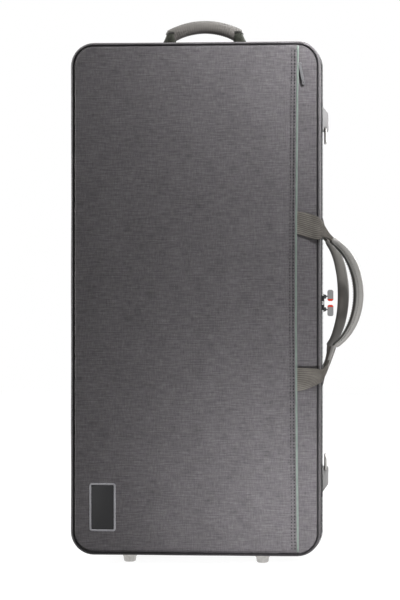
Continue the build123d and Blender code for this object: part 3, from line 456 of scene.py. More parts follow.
vinyl = grained("grip_vinyl", (0.34, 0.335, 0.31), (0.18, 0.176, 0.162), 0.0011, 0.5, 0.42, 0.2, 0.00018)
# A darker copy of the grip vinyl, used on the rear grip: its darkness is painted shade, not a darker vinyl.
painted_shade_vinyl = grained("grip_vinyl_painted_shade", (0.135, 0.13, 0.118), (0.075, 0.072, 0.065), 0.0011, 0.5, 0.5, 0.2,
                       0.00018, Specular_IOR_Level=0.3)
dark_vinyl = grained("grip_welt", (0.035, 0.034, 0.03), (0.012, 0.012, 0.01), 0.001, 0.5, 0.5, 0.15, 0.00012)
rubber = grained("ribbed_rubber", (0.15, 0.143, 0.13), (0.085, 0.08, 0.072), 0.0012, 0.4, 0.42, 0.2, 0.00008,
                 Specular_IOR_Level=0.35)
thread = grained("sewing_thread", (0.02, 0.02, 0.021), (0.008, 0.008, 0.008), 0.0004, 0.6, 0.7, 0.1, 0.0001,
                 Specular_IOR_Level=0.25)
nickel = grained("nickel", (0.56, 0.55, 0.53), (0.30, 0.29, 0.275), 0.004, 0.9, 0.14, 0.2, 0.00002,
                 Metallic=1.0)
dull_metal = grained("dull_metal", (0.36, 0.36, 0.37), (0.22, 0.22, 0.23), 0.0015, 0.6, 0.28, 0.2, 0.00001,
                     Metallic=1.0)
black_metal = grained("black_metal", (0.03, 0.03, 0.031), (0.012, 0.012, 0.012), 0.0012, 0.6, 0.3, 0.2,
                      0.00001, Metallic=0.35, Coat_Weight=0.5)
grey_rubber = grained("grey_pull", (0.27, 0.273, 0.265), (0.16, 0.162, 0.157), 0.0009, 0.5, 0.5, 0.15,
                      0.00006, Specular_IOR_Level=0.3)
red_rubber = grained("red_accent", (0.62, 0.045, 0.02), (0.45, 0.03, 0.012), 0.0009, 0.5, 0.6, 0.15, 0.00005,
                     Specular_IOR_Level=0.2)
smoked_plastic = grained("clear_plastic", (0.05, 0.05, 0.052), (0.025, 0.025, 0.026), 0.002, 0.4, 0.3, 0.15,
                         0.00001)
print(len(bpy.data.materials), "materials")

# %% [markdown]
# ## Helpers that every piece uses
#
# A piece starts as a bmesh, which is Blender's editable mesh. `finish_piece` turns it
# into an object, gives it a material, hides the CAD nodes that it stands for and lets
# it ride on the CAD body that carries it.


# %% From a bmesh to a finished piece
def finish_piece(bm, name, material, body, replaced=(), doubles=1e-6):
    """Store a bmesh as an object that rides on a body."""
    if doubles:
        bmesh.ops.remove_doubles(bm, verts=bm.verts, dist=doubles)
    bmesh.ops.recalc_face_normals(bm, faces=bm.faces)
    mesh = bpy.data.meshes.new(name)
    bm.to_mesh(mesh)
    bm.free()
    mesh.shade_smooth()
    piece = bpy.data.objects.new(name, mesh)
    bpy.context.collection.objects.link(piece)
    mesh.materials.append(material)
    if body:
        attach(piece, body)
    if replaced:
        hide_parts(*replaced)
    print(name, len(mesh.polygons), "faces")
    return piece


def sweep(section, frames, scales=None, closed=False, caps=True):
    """Carry a closed section through a row of frames, one extrusion for each step."""
    bm = bmesh.new()
    layer = bm.loops.layers.uv.new("along")
    scales = scales or [(1, 1)] * len(frames)
    place = [f @ Matrix.Diagonal((s[0], s[1], 1, 1)) for f, s in zip(frames, scales)]
    ring = [bm.verts.new(place[0] @ Vector((x, y, 0))) for x, y in section]
    edges = [bm.edges.new((ring[i - 1], ring[i])) for i in range(len(ring))]
    across = {v: x for v, (x, y) in zip(ring, section)}
    distance = {v: 0.0 for v in ring}
    total = 0.0
    if caps and not closed:
        bm.faces.new(ring)
    for i in range(1, len(place)):
        made = bmesh.ops.extrude_edge_only(bm, edges=edges)["geom"]
        verts = [g for g in made if isinstance(g, bmesh.types.BMVert)]
        fresh = set(verts)
        edges = [g for g in made if isinstance(g, bmesh.types.BMEdge)
                 and g.verts[0] in fresh and g.verts[1] in fresh]
        total += (frames[i].translation - frames[i - 1].translation).length
        for new in verts:
            old = next(e.other_vert(new) for e in new.link_edges if e.other_vert(new) not in fresh)
            across[new], distance[new] = across[old], total
        bmesh.ops.transform(bm, matrix=place[i] @ place[i - 1].inverted(), verts=verts)
    if caps and not closed:
        bmesh.ops.contextual_create(bm, geom=edges)
    for face in bm.faces:
        for loop in face.loops:
            loop[layer].uv = (across.get(loop.vert, 0.0), distance.get(loop.vert, 0.0))
    if closed:
        bmesh.ops.remove_doubles(bm, verts=bm.verts, dist=1e-5)
    return bm


# %% Sections and frames for a sweep
def round_section(width, height, corner, steps=3):
    """Points of a rectangle with round corners."""
    corner = min(corner, width / 2 - 1e-6, height / 2 - 1e-6)
    points = []
    for turn, sx, sy in ((0, 1, 1), (90, -1, 1), (180, -1, -1), (270, 1, -1)):
        cx, cy = sx * (width / 2 - corner), sy * (height / 2 - corner)
        for k in range(steps + 1):
            a = math.radians(turn + 90 * k / steps)
            points.append((cx + corner * math.cos(a), cy + corner * math.sin(a)))
    return points


def oval_section(half_width, half_height, count):
    """Points of an oval."""
    return [(half_width * math.cos(math.tau * k / count), half_height * math.sin(math.tau * k / count))
            for k in range(count)]


def frame_at(point, along, side):
    """A frame at a point: X to the side, Z along the path, Y square to both."""
    z = Vector(along).normalized()
    y = z.cross(Vector(side)).normalized()
    x = y.cross(z).normalized()
    return Matrix.Translation(Vector(point)) @ Matrix((x, y, z)).transposed().to_4x4()


def line_up(points, side):
    """Frames along a row of points, all with the same side."""
    frames = []
    for i, p in enumerate(points):
        a, b = points[max(0, i - 1)], points[min(len(points) - 1, i + 1)]
        frames.append(frame_at(p, Vector(b) - Vector(a), side))
    return frames


def levels(low, high, step):
    """Evenly spaced values from low to high."""
    count = max(1, round((high - low) / step))
    return [low + (high - low) * i / count for i in range(count + 1)]


def wander(point, size, seed):
    """A soft wave of cloth at a place, from -1 to 1."""
    return noise.noise(Vector(point) / size + Vector((seed, 0.7 * seed, -seed)))


print("helpers ready")

# %% [markdown]
# ## The two covered halves
#
# On the real case a sheet of nylon is pulled over a foam tub, turned in over its rim
# and glued. One face with the outline of the case is pushed out to the depth of the
# half, its far edge is rounded, and the open side is inset by the thickness of the
# wall and pushed in. Cuts on a regular grid then let the cloth wave a little.


# %% Outline face, push and cuts
def outline_face(inset, y, segments=10):
    """One face with the case's outline, drawn in by an inset, at a depth."""
    bm = bmesh.new()
    half_w, half_h = WIDTH / 2 - inset, HEIGHT / 2 - inset
    corners = [bm.verts.new((MIDDLE_X + sx * half_w, y, MIDDLE_Z + sz * half_h))
               for sx, sz in ((-1, -1), (1, -1), (1, 1), (-1, 1))]
    bm.faces.new(corners)
    bmesh.ops.bevel(bm, geom=corners, offset=CORNER - inset, offset_type="OFFSET", segments=segments,
                    profile=0.5, affect="VERTICES", material=-1)
    return bm


def at_depth(items, y):
    """The edges or faces that lie wholly at a depth."""
    return [item for item in items if all(abs(v.co.y - y) < 0.01 * MM for v in item.verts)]


def push(bm, faces, dy):
    """Push faces along Y, and close what they leave open behind them."""
    made = bmesh.ops.extrude_face_region(bm, geom=faces)["geom"]
    verts = [g for g in made if isinstance(g, bmesh.types.BMVert)]
    bmesh.ops.translate(bm, vec=(0, dy, 0), verts=verts)
    open_edges = [e for e in bm.edges if e.is_boundary]
    if open_edges:
        bmesh.ops.holes_fill(bm, edges=open_edges, sides=0)


def round_edges(bm, edges, radius, segments):
    """Round some edges."""
    bmesh.ops.bevel(bm, geom=edges, offset=radius, offset_type="OFFSET", segments=segments,
                    profile=0.5, affect="EDGES", material=-1, clamp_overlap=True)


def bisect(bm, point, normal, **options):
    """Cut a whole mesh at a plane."""
    bmesh.ops.bisect_plane(bm, geom=bm.verts[:] + bm.edges[:] + bm.faces[:], plane_co=point,
                           plane_no=normal, dist=1e-6, **options)


def cut_away(bm, point, normal):
    """Cut a mesh at a plane and drop what lies on the normal's side."""
    bisect(bm, point, normal, clear_outer=True)


def cut_grid(bm, *cuts):
    """Cut a mesh into even slices; each cut is an axis and a step."""
    for axis, step in cuts:
        values = [v.co[axis] for v in bm.verts]
        low, high = min(values), max(values)
        count = max(1, round((high - low) / step))
        normal, point = Vector(), Vector()
        normal[axis] = 1
        for i in range(1, count):
            point[axis] = low + (high - low) * i / count
            bisect(bm, point, normal)


# %% One covered half
LID_WALL = 13.2 * MM
LID_FLOOR_Y, TUB_FLOOR_Y = PARTING_Y - 48.5 * MM, PARTING_Y + 86.5 * MM


def covered_half(name, far_y, floor_y, body, replaced):
    """Tub or lid: outer cloth, turned rim and inner walls as one closed form."""
    rim_y = PARTING_Y + math.copysign(0.2 * MM, far_y - PARTING_Y)
    bm = outline_face(0.0, rim_y)
    push(bm, bm.faces[:], far_y - rim_y)
    round_edges(bm, at_depth(bm.edges, far_y), 8 * MM, 5)

    def rim_face():
        return max(at_depth(bm.faces, rim_y), key=lambda f: f.calc_area())

    bmesh.ops.inset_region(bm, faces=[rim_face()], thickness=LID_WALL, depth=0, use_even_offset=True)
    push(bm, [rim_face()], floor_y - rim_y)
    bmesh.ops.delete(bm, geom=[f for f in at_depth(bm.faces, rim_y)
                               if f.calc_area() > WIDTH * HEIGHT / 2], context="FACES_ONLY")
    cut_grid(bm, (0, 14 * MM), (2, 14 * MM), (1, 8 * MM))
    inner_w, inner_h = WIDTH / 2 - LID_WALL + MM, HEIGHT / 2 - LID_WALL + MM
    for v in bm.verts:
        inside = abs(v.co.x - MIDDLE_X) < inner_w and abs(v.co.z - MIDDLE_Z) < inner_h
        if inside and abs(v.co.y - far_y) >= 0.5 * MM:
            continue
        from_rim = min(1.0, abs(v.co.y - rim_y) / (10 * MM))
        slow, ripple = wander(v.co, 0.11, 3.0), wander(v.co, 0.028, 8.0)
        v.co += v.normal * (0.45 * slow + 0.12 * ripple) * MM * from_rim
    finish_piece(bm, name, nylon, body, replaced)


covered_half("lid_cloth", FRONT_Y, LID_FLOOR_Y, "lid", ("lid_cover", "lid_shell"))
covered_half("body_cloth", BACK_Y, TUB_FLOOR_Y, "case_body", ("body_cover", "body_shell"))

# %% [markdown]
# ## Piping
#
# The seam of each large face holds a cloth covered cord. A round section is carried
# along the outline, and the cord's cloth runs at a slant, as a bias strip does.

# %% The path round the outline
CORD_INSET, CORD_RADIUS = 4.5 * MM, 1.5 * MM


def outline_path(inset, y, step=15 * MM, corner_steps=10):
    """Points, directions and outward sides round the outline, from the top left on."""
    half_w, half_h, radius = WIDTH / 2 - inset, HEIGHT / 2 - inset, CORNER - inset
    found = []

    def straight(a, b, out):
        count = max(1, round((b - a).length / step))
        for i in range(count):
            found.append((a.lerp(b, i / count), (b - a).normalized(), out))

    def turn(cx, cz, first):
        for i in range(corner_steps):
            a = math.radians(first - 90 * i / corner_steps)
            out = Vector((math.cos(a), 0, math.sin(a)))
            found.append((Vector((cx, y, cz)) + out * radius, Vector((math.sin(a), 0, -math.cos(a))), out))

    x0, x1 = MIDDLE_X - half_w, MIDDLE_X + half_w
    z0, z1 = MIDDLE_Z - half_h, MIDDLE_Z + half_h
    right = Vector((1, 0, 0))
    straight(Vector((x0 + radius, y, z1)), Vector((x1 - radius, y, z1)), UP)
    turn(x1 - radius, z1 - radius, 90)
    straight(Vector((x1, y, z1 - radius)), Vector((x1, y, z0 + radius)), right)
    turn(x1 - radius, z0 + radius, 0)
    straight(Vector((x1 - radius, y, z0)), Vector((x0 + radius, y, z0)), -UP)
    turn(x0 + radius, z0 + radius, -90)
    straight(Vector((x0, y, z0 + radius)), Vector((x0, y, z1 - radius)), -right)
    turn(x0 + radius, z1 - radius, 180)
    return found


def piping(name, face_y, body, replaced):
    """The covered cord in the seam of one large face."""
    path = outline_path(CORD_INSET, face_y, 9 * MM)
    frames = [frame_at(p + out * 0.15 * MM * wander(p, 0.04, 5.0), along, out) for p, along, out in path]
    frames.append(frames[0].copy())
    cord = sweep(oval_section(CORD_RADIUS, CORD_RADIUS, 12), frames, closed=True, caps=False)
    finish_piece(cord, name, cord_cloth, body, replaced, doubles=2e-5)


piping("front_cord", FRONT_Y, "lid", ("front_piping",))
piping("back_cord", BACK_Y, "case_body", ("back_piping",))

# %% [markdown]
# ## The music pocket on the front
#
# A flat pocket for sheet music fills most of the front. Its panel is thin foam under
# the same nylon, sewn in under the piping on three sides. On the fourth side a flap,
# the placket, covers the zip. The flap's free edge is bound in a pale tape, with two
# rows of dark stitches beside it. The binding wanders by a millimetre or two, as a
# hand guided seam does.

# %% Panel
pocket_lo, pocket_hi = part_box("music_pocket")
placket_lo, placket_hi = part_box("pocket_placket")
PANEL_INSET, FLAP_INSET = 7.5 * MM, 7.0 * MM


def pocket_panel():
    """The padded panel, puckered a little along its seams."""
    bm = outline_face(PANEL_INSET, FRONT_Y)
    cut_away(bm, (pocket_hi.x, 0, 0), (1, 0, 0))
    push(bm, bm.faces[:], pocket_lo.y - FRONT_Y)
    ring = [e for e in at_depth(bm.edges, pocket_lo.y)
            if not all(abs(v.co.x - pocket_hi.x) < 1e-5 for v in e.verts)]
    round_edges(bm, ring, 2.2 * MM, 4)
    cut_grid(bm, (0, 7 * MM), (2, 7 * MM))
    half_w, half_h = WIDTH / 2 - PANEL_INSET, HEIGHT / 2 - PANEL_INSET
    for v in bm.verts:
        if v.co.y > pocket_lo.y + 2.6 * MM:
            continue
        left, end = v.co.x - (MIDDLE_X - half_w), half_h - abs(v.co.z - MIDDLE_Z)
        edge = max(0.0, min(left, end))
        pucker = math.exp(-edge / (9 * MM)) * wander((v.co.x * 3, v.co.z * 3, 0), 0.035, 2.0)
        slow = wander(v.co, 0.16, 11.0) * 0.9 + wander(v.co, 0.06, 17.0) * 0.25
        crown = min(1.0, edge / (60 * MM))
        v.co.y -= (0.5 * crown + slow * min(1.0, edge / (25 * MM)) + 0.35 * pucker) * MM
    return finish_piece(bm, "pocket_panel", nylon, "lid", ("music_pocket",))


pocket = pocket_panel()


# %% Placket and its pale binding
def placket_edge_x(z):
    """Where the free edge of the flap runs at a height."""
    share = (z - BOTTOM_Z) / HEIGHT
    bow = -3.2 * math.sin(math.pi * share) * MM
    return placket_hi.x + 1.2 * MM + bow + 0.5 * MM * noise.noise(Vector((0, 0, z / 0.07)))


def placket_flap():
    """The flap over the zip, a little raised where the zip's bead lies under it."""
    tuck = 6 * MM
    bm = outline_face(FLAP_INSET, placket_hi.y)
    cut_away(bm, (placket_hi.x, 0, 0), (1, 0, 0))
    cut_away(bm, (placket_lo.x - tuck, 0, 0), (-1, 0, 0))
    push(bm, bm.faces[:], placket_lo.y - placket_hi.y)
    cut_grid(bm, (0, 4 * MM), (2, 6 * MM))
    for v in bm.verts:
        share = (v.co.x - placket_lo.x + tuck) / (placket_hi.x - placket_lo.x + tuck)
        v.co.x += (placket_edge_x(v.co.z) - placket_hi.x) * share
        swell = math.sin(math.pi * min(1.0, max(0.0, share)))
        v.co.y -= (0.9 * swell * (0.8 + 0.4 * wander(v.co, 0.05, 4.0)) - 0.9) * MM * (share > 0.02)
        if share < 0.35:
            v.co.y += 1.5 * MM * ((0.35 - share) / 0.35) ** 1.5
    finish_piece(bm, "placket_flap", nylon, "lid", ("pocket_placket",))


placket_flap()
binding_line = [Vector((placket_edge_x(z), placket_lo.y + 1.0 * MM, z))
                for z in levels(placket_lo.z - 1.5 * MM, placket_hi.z + 1.5 * MM, 8 * MM)]
finish_piece(sweep(round_section(3.0 * MM, 1.9 * MM, 0.8 * MM), line_up(binding_line, (1, 0, 0))),
             "placket_binding", placket_edge, "lid", ())


# %% Lugs, for stitches and teeth
def lug_mesh():
    """A small round lug, one across, as a mesh to copy."""
    bm = bmesh.new()
    bmesh.ops.create_uvsphere(bm, u_segments=6, v_segments=5, radius=0.5)
    mesh = bpy.data.meshes.new("lug")
    bm.to_mesh(mesh)
    bm.free()
    return mesh


LUG = lug_mesh()


def lugs(name, places, size, material, body):
    """One lug at each place, as one piece; size is across, out and along."""
    stretch = Matrix.Diagonal((*size, 1))
    bm = bmesh.new()
    for place in places:
        one = LUG.copy()
        one.transform(place @ stretch)
        bm.from_mesh(one)
        bpy.data.meshes.remove(one)
    finish_piece(bm, name, material, body, doubles=0)


def stitches(name, rows, body, length=2.6 * MM, pitch=4.0 * MM, thick=0.55 * MM):
    """Rows of short raised stitches along points that each have a facing."""
    places = []
    for points, facing in rows:
        travelled, wanted = 0.0, 0.0
        for a, b in zip(points, points[1:]):
            span = (b - a).length
            while wanted <= travelled + span:
                place = a.lerp(b, (wanted - travelled) / span if span else 0.0)
                places.append(frame_at(place, b - a, Vector(facing).cross(b - a)))
                wanted += pitch
            travelled += span
    lugs(name, places, (thick, thick, length), thread, body)


for name, inward, length, thick in (("placket_stitches", 4.4, 2.7, 2.0),
                                    ("placket_stitches_inner", 9.4, 2.4, 1.5)):
    line = [Vector((placket_edge_x(z) - inward * MM, placket_lo.y - 0.5 * MM, z))
            for z in levels(placket_lo.z + 4 * MM, placket_hi.z - 4 * MM, 10 * MM)]
    stitches(name, [(line, FORWARD)], "lid", length * MM, 5.1 * MM, thick * MM)

# %% Zip under the placket
tape_lo, tape_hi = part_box("pocket_zip_tape")
tape_line = [Vector(((tape_lo.x + tape_hi.x) / 2, FRONT_Y - 0.5 * MM, z))
             for z in levels(tape_lo.z + 4 * MM, tape_hi.z - 4 * MM, 40 * MM)]
finish_piece(
    sweep(round_section(tape_hi.x - tape_lo.x, 0.8 * MM, 0.3 * MM), line_up(tape_line, (1, 0, 0))),
    "pocket_tape", zip_cloth, "lid", ("pocket_zip_tape",))
BEAD_X, BEAD_Y = placket_hi.x - 5.6 * MM, FRONT_Y - 1.7 * MM
lugs("pocket_teeth", [frame_at((BEAD_X, BEAD_Y, z), UP, (1, 0, 0))
                      for z in levels(tape_lo.z + 8 * MM, tape_hi.z - 8 * MM, 1.9 * MM)],
     (3.4 * MM, 1.7 * MM, 1.3 * MM), black_metal, "lid")

# %% [markdown]
# ## The plain patch
#
# A small woven patch is sewn low on the left. Its field is plain black cloth and its
# border is satin stitch, which stands up as a rounded ridge.


# %% Patch
def box_piece(name, low, high, material, body, replaced, radius):
    """A block between two corners with rounded edges."""
    bm = bmesh.new()
    bmesh.ops.create_cube(bm, size=1.0)
    low, high = Vector(low), Vector(high)
    bmesh.ops.scale(bm, vec=high - low, verts=bm.verts)
    bmesh.ops.translate(bm, vec=(low + high) / 2, verts=bm.verts)
    round_edges(bm, bm.edges[:], radius, 2)
    finish_piece(bm, name, material, body, replaced)


def patch_border():
    """The ridge of satin stitch round the patch."""
    low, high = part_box("patch_frame")
    y = low.y + 0.3 * MM
    inset, corner = 1.5 * MM, 3.0 * MM
    mid = (low + high) / 2
    half_w, half_h = ((high.x - low.x) / 2 - inset, (high.z - low.z) / 2 - inset)
    points = []
    for cx, cz, first in ((1, 1, 90), (1, -1, 0), (-1, -1, -90), (-1, 1, 180)):
        for k in range(7):
            a = math.radians(first - 15 * k)
            points.append(Vector((mid.x + cx * (half_w - corner) + corner * math.cos(a), y,
                                  mid.z + cz * (half_h - corner) + corner * math.sin(a))))
    points.append(points[0].copy())
    dense = []
    for a, b in zip(points, points[1:]):
        count = max(1, round((b - a).length / (2 * MM)))
        dense += [a.lerp(b, k / count) for k in range(count)]
    frames = []
    for i, p in enumerate(dense):
        along = dense[(i + 1) % len(dense)] - dense[i - 1]
        frames.append(frame_at(p, along, FORWARD.cross(along)))
    frames.append(frames[0].copy())
    # Every third place is a little narrower and the next a little wider, as hand work is.
    scales = [(1.0 + 0.06 * ((i * 7) % 3 - 1), 1.0) for i in range(len(dense))]
    bm = sweep(round_section(3.0 * MM, 1.5 * MM, 0.7 * MM), frames, scales + scales[:1], closed=True,
               caps=False)
    finish_piece(bm, "patch_satin_border", patch_thread, "lid", ("patch_frame",),
                 doubles=2e-5)


patch_border()
field_lo, field_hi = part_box("patch_field")
box_piece("patch_cloth", (field_lo.x, field_lo.y - 0.2 * MM, field_lo.z),
          (field_hi.x, FRONT_Y - 3.6 * MM, field_hi.z), patch_cloth, "lid", ("patch_field",),
          0.3 * MM)

# %% [markdown]
# ## The main zip
#
# Each half has its own tape, sewn to the outside of the wall, and a coil of teeth at
# the tape's edge. The teeth are small rounded lugs, one made for each place on the
# path. The two sliders meet half way up and are metal CAD pieces.

# %% Tapes, teeth and their stitches
ZIP_START_X = MIDDLE_X - WIDTH / 2 + 60 * MM


def zip_path(outset, y, step=8 * MM):
    """The part of the outline that the zip follows, at a distance outside the wall."""
    path = outline_path(-outset, y, step, 14)
    start = next(i for i, (p, _, out) in enumerate(path) if p.x >= ZIP_START_X and out.z > 0.9)
    path = path[start:]
    end = next(i for i, (p, _, out) in enumerate(path) if out.z < -0.9 and p.x < ZIP_START_X)
    return path[:end]


def even_frames(path, pitch):
    """Frames at an even pitch along a path."""
    found, travelled, wanted = [], 0.0, 0.0
    for (a, da, _), (b, db, _) in zip(path, path[1:]):
        span = (b - a).length
        while wanted <= travelled + span:
            t = (wanted - travelled) / span
            found.append(frame_at(a.lerp(b, t), da.lerp(db, t).normalized(), (0, 1, 0)))
            wanted += pitch
        travelled += span
    return found


def zip_half(word, way, body, replaced):
    """Tape, teeth and stitches of one half; way is -1 on the lid and +1 on the body."""
    def depth(offset):
        return PARTING_Y + way * offset * MM

    frames = [frame_at(p, along, (0, 1, 0)) for p, along, _ in zip_path(0.5 * MM, depth(4.7), 20 * MM)]
    finish_piece(sweep(round_section(9.0 * MM, 1.0 * MM, 0.4 * MM), frames), f"{word}_zip_cloth", zip_cloth,
                 body, replaced)
    teeth = even_frames(zip_path(2.2 * MM, depth(1.15)), 2.0 * MM)
    lugs(f"{word}_zip_teeth", teeth, (2.1 * MM, 2.3 * MM, 1.35 * MM), black_metal, body)
    sewn = [f for offset in (3.6, 7.8) for f in even_frames(zip_path(1.05 * MM, depth(offset)), 3.6 * MM)]
    lugs(f"{word}_zip_stitches", sewn, (0.5 * MM, 0.5 * MM, 2.4 * MM), thread, body)


zip_half("lid", -1, "lid", ("lid_zip_tape",))
zip_half("body", 1, "case_body", ("body_zip_tape",))

# %% [markdown]
# ## Carry handles
#
# Each half carries one handle. Its webbing is sewn flat to the face, rises over the
# piping, folds round the edge and gathers into a padded crescent grip. A ribbon is
# given by the places of its two edges, and a smooth curve is laid through them. The
# fabric crosses the handle's hinge and is attached to neither body.


# %% Ribbons from the places of their edges
def joint_place(name):
    """Where a joint's axis passes."""
    return Vector(next(j for j in frame["joints"] if j["name"] == name)["pos_m"])


def smooth_line(points, parts):
    """A smooth curve through points, divided evenly between them."""
    ends = [2 * points[0] - points[1]] + points + [2 * points[-1] - points[-2]]
    found = []
    for a, b, c, d in zip(ends, ends[1:], ends[2:], ends[3:]):
        for k in range(parts):
            t = k / parts
            found.append(0.5 * (2 * b + (c - a) * t + (2 * a - 5 * b + 4 * c - d) * t * t
                                + (3 * b - a - 3 * c + d) * t ** 3))
    return found + [points[-1]]


def divide_section(section, parts):
    """Divide the two long sides of a flat section, so that it can bend and crease."""
    found = []
    for i, (x, y) in enumerate(section):
        nx, ny = section[(i + 1) % len(section)]
        found.append((x, y))
        if abs(nx - x) > 5 * abs(ny - y) + 1e-6 and abs(nx - x) > 2 * MM:
            found += [(x + (nx - x) * k / parts, y + (ny - y) * k / parts) for k in range(1, parts)]
    return found


def ribbon(upper, lower, thickness, parts, thick_end=None):
    """Webbing between two edge lines; it may thicken towards its end."""
    tops, lows = smooth_line(upper, parts), smooth_line(lower, parts)
    middles = [(a + b) / 2 for a, b in zip(tops, lows)]
    full = max((a - b).length for a, b in zip(tops, lows))
    frames, scales = [], []
    for i, (a, b) in enumerate(zip(tops, lows)):
        along = middles[min(i + 1, len(middles) - 1)] - middles[max(i - 1, 0)]
        side = (a - b).normalized()
        along = along - along.dot(side) * side
        frames.append(frame_at(middles[i], along, side))
        share = i / (len(tops) - 1)
        grown = 1.0 if thick_end is None else 1.0 + (thick_end / thickness - 1.0) * share ** 2
        scales.append(((a - b).length / full, grown))
    section = divide_section(round_section(full, thickness, thickness * 0.45), 6)
    return sweep(section, frames, scales)


# %% The path of each webbing
FRONT_TURN, REAR_TURN = math.radians(43.1), math.radians(-65.0)
STRAP, STRAP_END = 2.0 * MM, 7.0 * MM
BLEND_FROM, BLEND_TO = -2.5 * MM, 7 * MM
FRONT_REACH = ((158.5, -1.8), (170.0, -1.7), (182.0, -1.9), (188.6, -3.3), (193.6, -3.9), (197.6, -2.6))
# Heights of the two edges at each reach, all in millimetres.
FRONT_HEIGHTS = {
    "upper": ((555.6, 518.8), (553.0, 515.6), (549.8, 511.6), (547.6, 509.9), (545.6, 509.5), (541.6, 510.9)),
    "lower": ((309.4, 271.6), (309.0, 273.4), (308.4, 277.6), (307.8, 280.6), (307.2, 283.4), (306.8, 285.6))}
# On the handle: reach from the fold line, and the heights of the two edges.
LOWER_END = ((18.0, 328.2, 320.8), (23.0, 338.0, 331.6), (26.0, 345.0, 339.0))
FRONT_TAIL = {
    "upper": ((0.0, 537.6, 513.6), (6.0, 529.6, 513.4), (12.0, 522.0, 511.6), (18.0, 516.4, 508.6),
              (25.0, 511.4, 503.6)),
    "lower": ((0.0, 306.6, 289.0), (6.0, 310.6, 297.2), (12.0, 318.0, 308.6), *LOWER_END)}
REAR_MIDDLE = {"upper": 532.0, "lower": 292.0}
# On the back: reach from the case's middle, height over the face, and half the width.
REAR_ROWS = ((149.0, 1.4, 18.5), (165.0, 1.4, 18.5), (182.0, 1.8, 18.5), (188.6, 3.3, 18.5),
             (193.6, 3.9, 18.4), (197.6, 2.6, 17.6))
REAR_TAIL = {
    "upper": ((0.0, 540.0, 516.0), (6.0, 530.0, 513.4), (12.0, 522.0, 511.0), (18.0, 516.4, 508.0),
              (25.0, 511.4, 503.6)),
    "lower": ((0.0, 285.0, 309.0), (6.0, 296.0, 313.0), (12.0, 308.0, 319.0),
              *((reach, low, high) for reach, high, low in LOWER_END))}


def handle_point(pivot, turn, reach, height):
    """A point of a handle, by its reach from the fold line and its height."""
    along = Vector((math.cos(turn), math.sin(turn), 0))
    return Vector((pivot.x, pivot.y, 0)) + along * reach + UP * height


def edge_lines(pivot, turn, face_y, rows, tail):
    """The two edges of a webbing: rows on a face of the case, then a tail on the handle."""
    return [[Vector((MIDDLE_X + row[0] * MM, face_y + row[1] * MM, row[2 + edge] * MM)) for row in rows]
            + [handle_point(pivot, turn, row[0] * MM, row[1 + edge] * MM) for row in tail]
            for edge in (0, 1)]


def crease_webbing(bm, edge_x, folded):
    """Folds where webbing gathers towards the grip; the lower one also lies over itself."""
    for v in bm.verts:
        share = min(1.0, max(0.0, (v.co.x - edge_x + 22 * MM) / (30 * MM)))
        wave = noise.noise(Vector((v.co.x / 0.02, -3.0 if folded else 3.0, v.co.z / 0.008)))
        v.co.y -= 0.9 * MM * share * (wave + 0.3) * (1.0 if v.co.x < edge_x else 0.5)
        if folded:
            x, z = v.co.x - MIDDLE_X, v.co.z
            past = ((x - 169 * MM) * 0.71 + (z - 297 * MM) * 0.71) / (3.0 * MM)
            flap = min(1.0, max(0.0, past)) * min(1.0, max(0.0, (203 * MM - x) / (14 * MM)))
            v.co.y -= 2.4 * MM * flap * flap * (3 - 2 * flap)


def front_webbing():
    """The two webbings of the lid's handle, as the photograph shows them folded."""
    pivot = joint_place("front_handle_swing")
    for word in ("upper", "lower"):
        rows = [(*place, *edges) for place, edges in zip(FRONT_REACH, FRONT_HEIGHTS[word])]
        tops, lows = edge_lines(pivot, FRONT_TURN, FRONT_Y, rows, FRONT_TAIL[word])
        bm = ribbon(tops, lows, STRAP, 7, STRAP_END)
        crease_webbing(bm, MIDDLE_X + 197 * MM, word == "lower")
        piece = finish_piece(bm, f"front_webbing_{word}", webbing, None, ())
        handle_point(pivot, FRONT_TURN, BLEND_FROM, tops[0].z)
        handle_point(pivot, FRONT_TURN, BLEND_TO, tops[0].z)
        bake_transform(piece)
    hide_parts("front_handle_straps", "front_handle_webbing")


def rear_webbing():
    """The two webbings of the body's handle, sewn flat to the back."""
    pivot = joint_place("rear_handle_swing")
    pieces, box = [], []
    for (word, middle), sign in zip(REAR_MIDDLE.items(), (1, -1)):
        rows = [(x, y, middle + sign * w, middle - sign * w) for x, y, w in REAR_ROWS]
        near, far = edge_lines(pivot, REAR_TURN, BACK_Y, rows, REAR_TAIL[word])
        bm = ribbon(near, far, STRAP, 6, STRAP_END)
        piece = finish_piece(bm, f"rear_webbing_{word}", webbing, None, ())
        handle_point(pivot, REAR_TURN, BLEND_FROM, middle * MM)
        handle_point(pivot, REAR_TURN, BLEND_TO, middle * MM)
        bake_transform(piece)
        pieces.append(piece)
        # The stitches go round a square and across it both ways.
        corners = [Vector((MIDDLE_X + x * MM, BACK_Y + 2.55 * MM, (middle + z) * MM))
                   for x, z in ((152, -15), (178, -15), (178, 15), (152, 15))]
        box += [([corners[a], corners[b]], -FORWARD)
                for a, b in ((0, 1), (1, 2), (2, 3), (3, 0), (0, 2), (3, 1))]
    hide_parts("rear_handle_straps", "rear_handle_webbing")
    stitches("rear_webbing_stitches", box, "case_body", pitch=3.4 * MM, thick=0.6 * MM)


front_webbing()
rear_webbing()

# %% [markdown]
# The grip is a foam core in soft vinyl, sewn shut along its inner edge. Its section
# is fuller in the middle than at the ends, so one section is carried round an arc and
# scaled on the way. A dark welt closes the inner edge and stitches run beside it.

# %% Padded crescent grips
GRIP_MIDDLE_Z, GRIP_ARC, GRIP_BACK = 425 * MM, 91.5 * MM, -13.7 * MM
GRIP_FIRST, GRIP_LAST, GRIP_STEPS, TAIL_STEPS = 69.0, -65.5, 48, 6


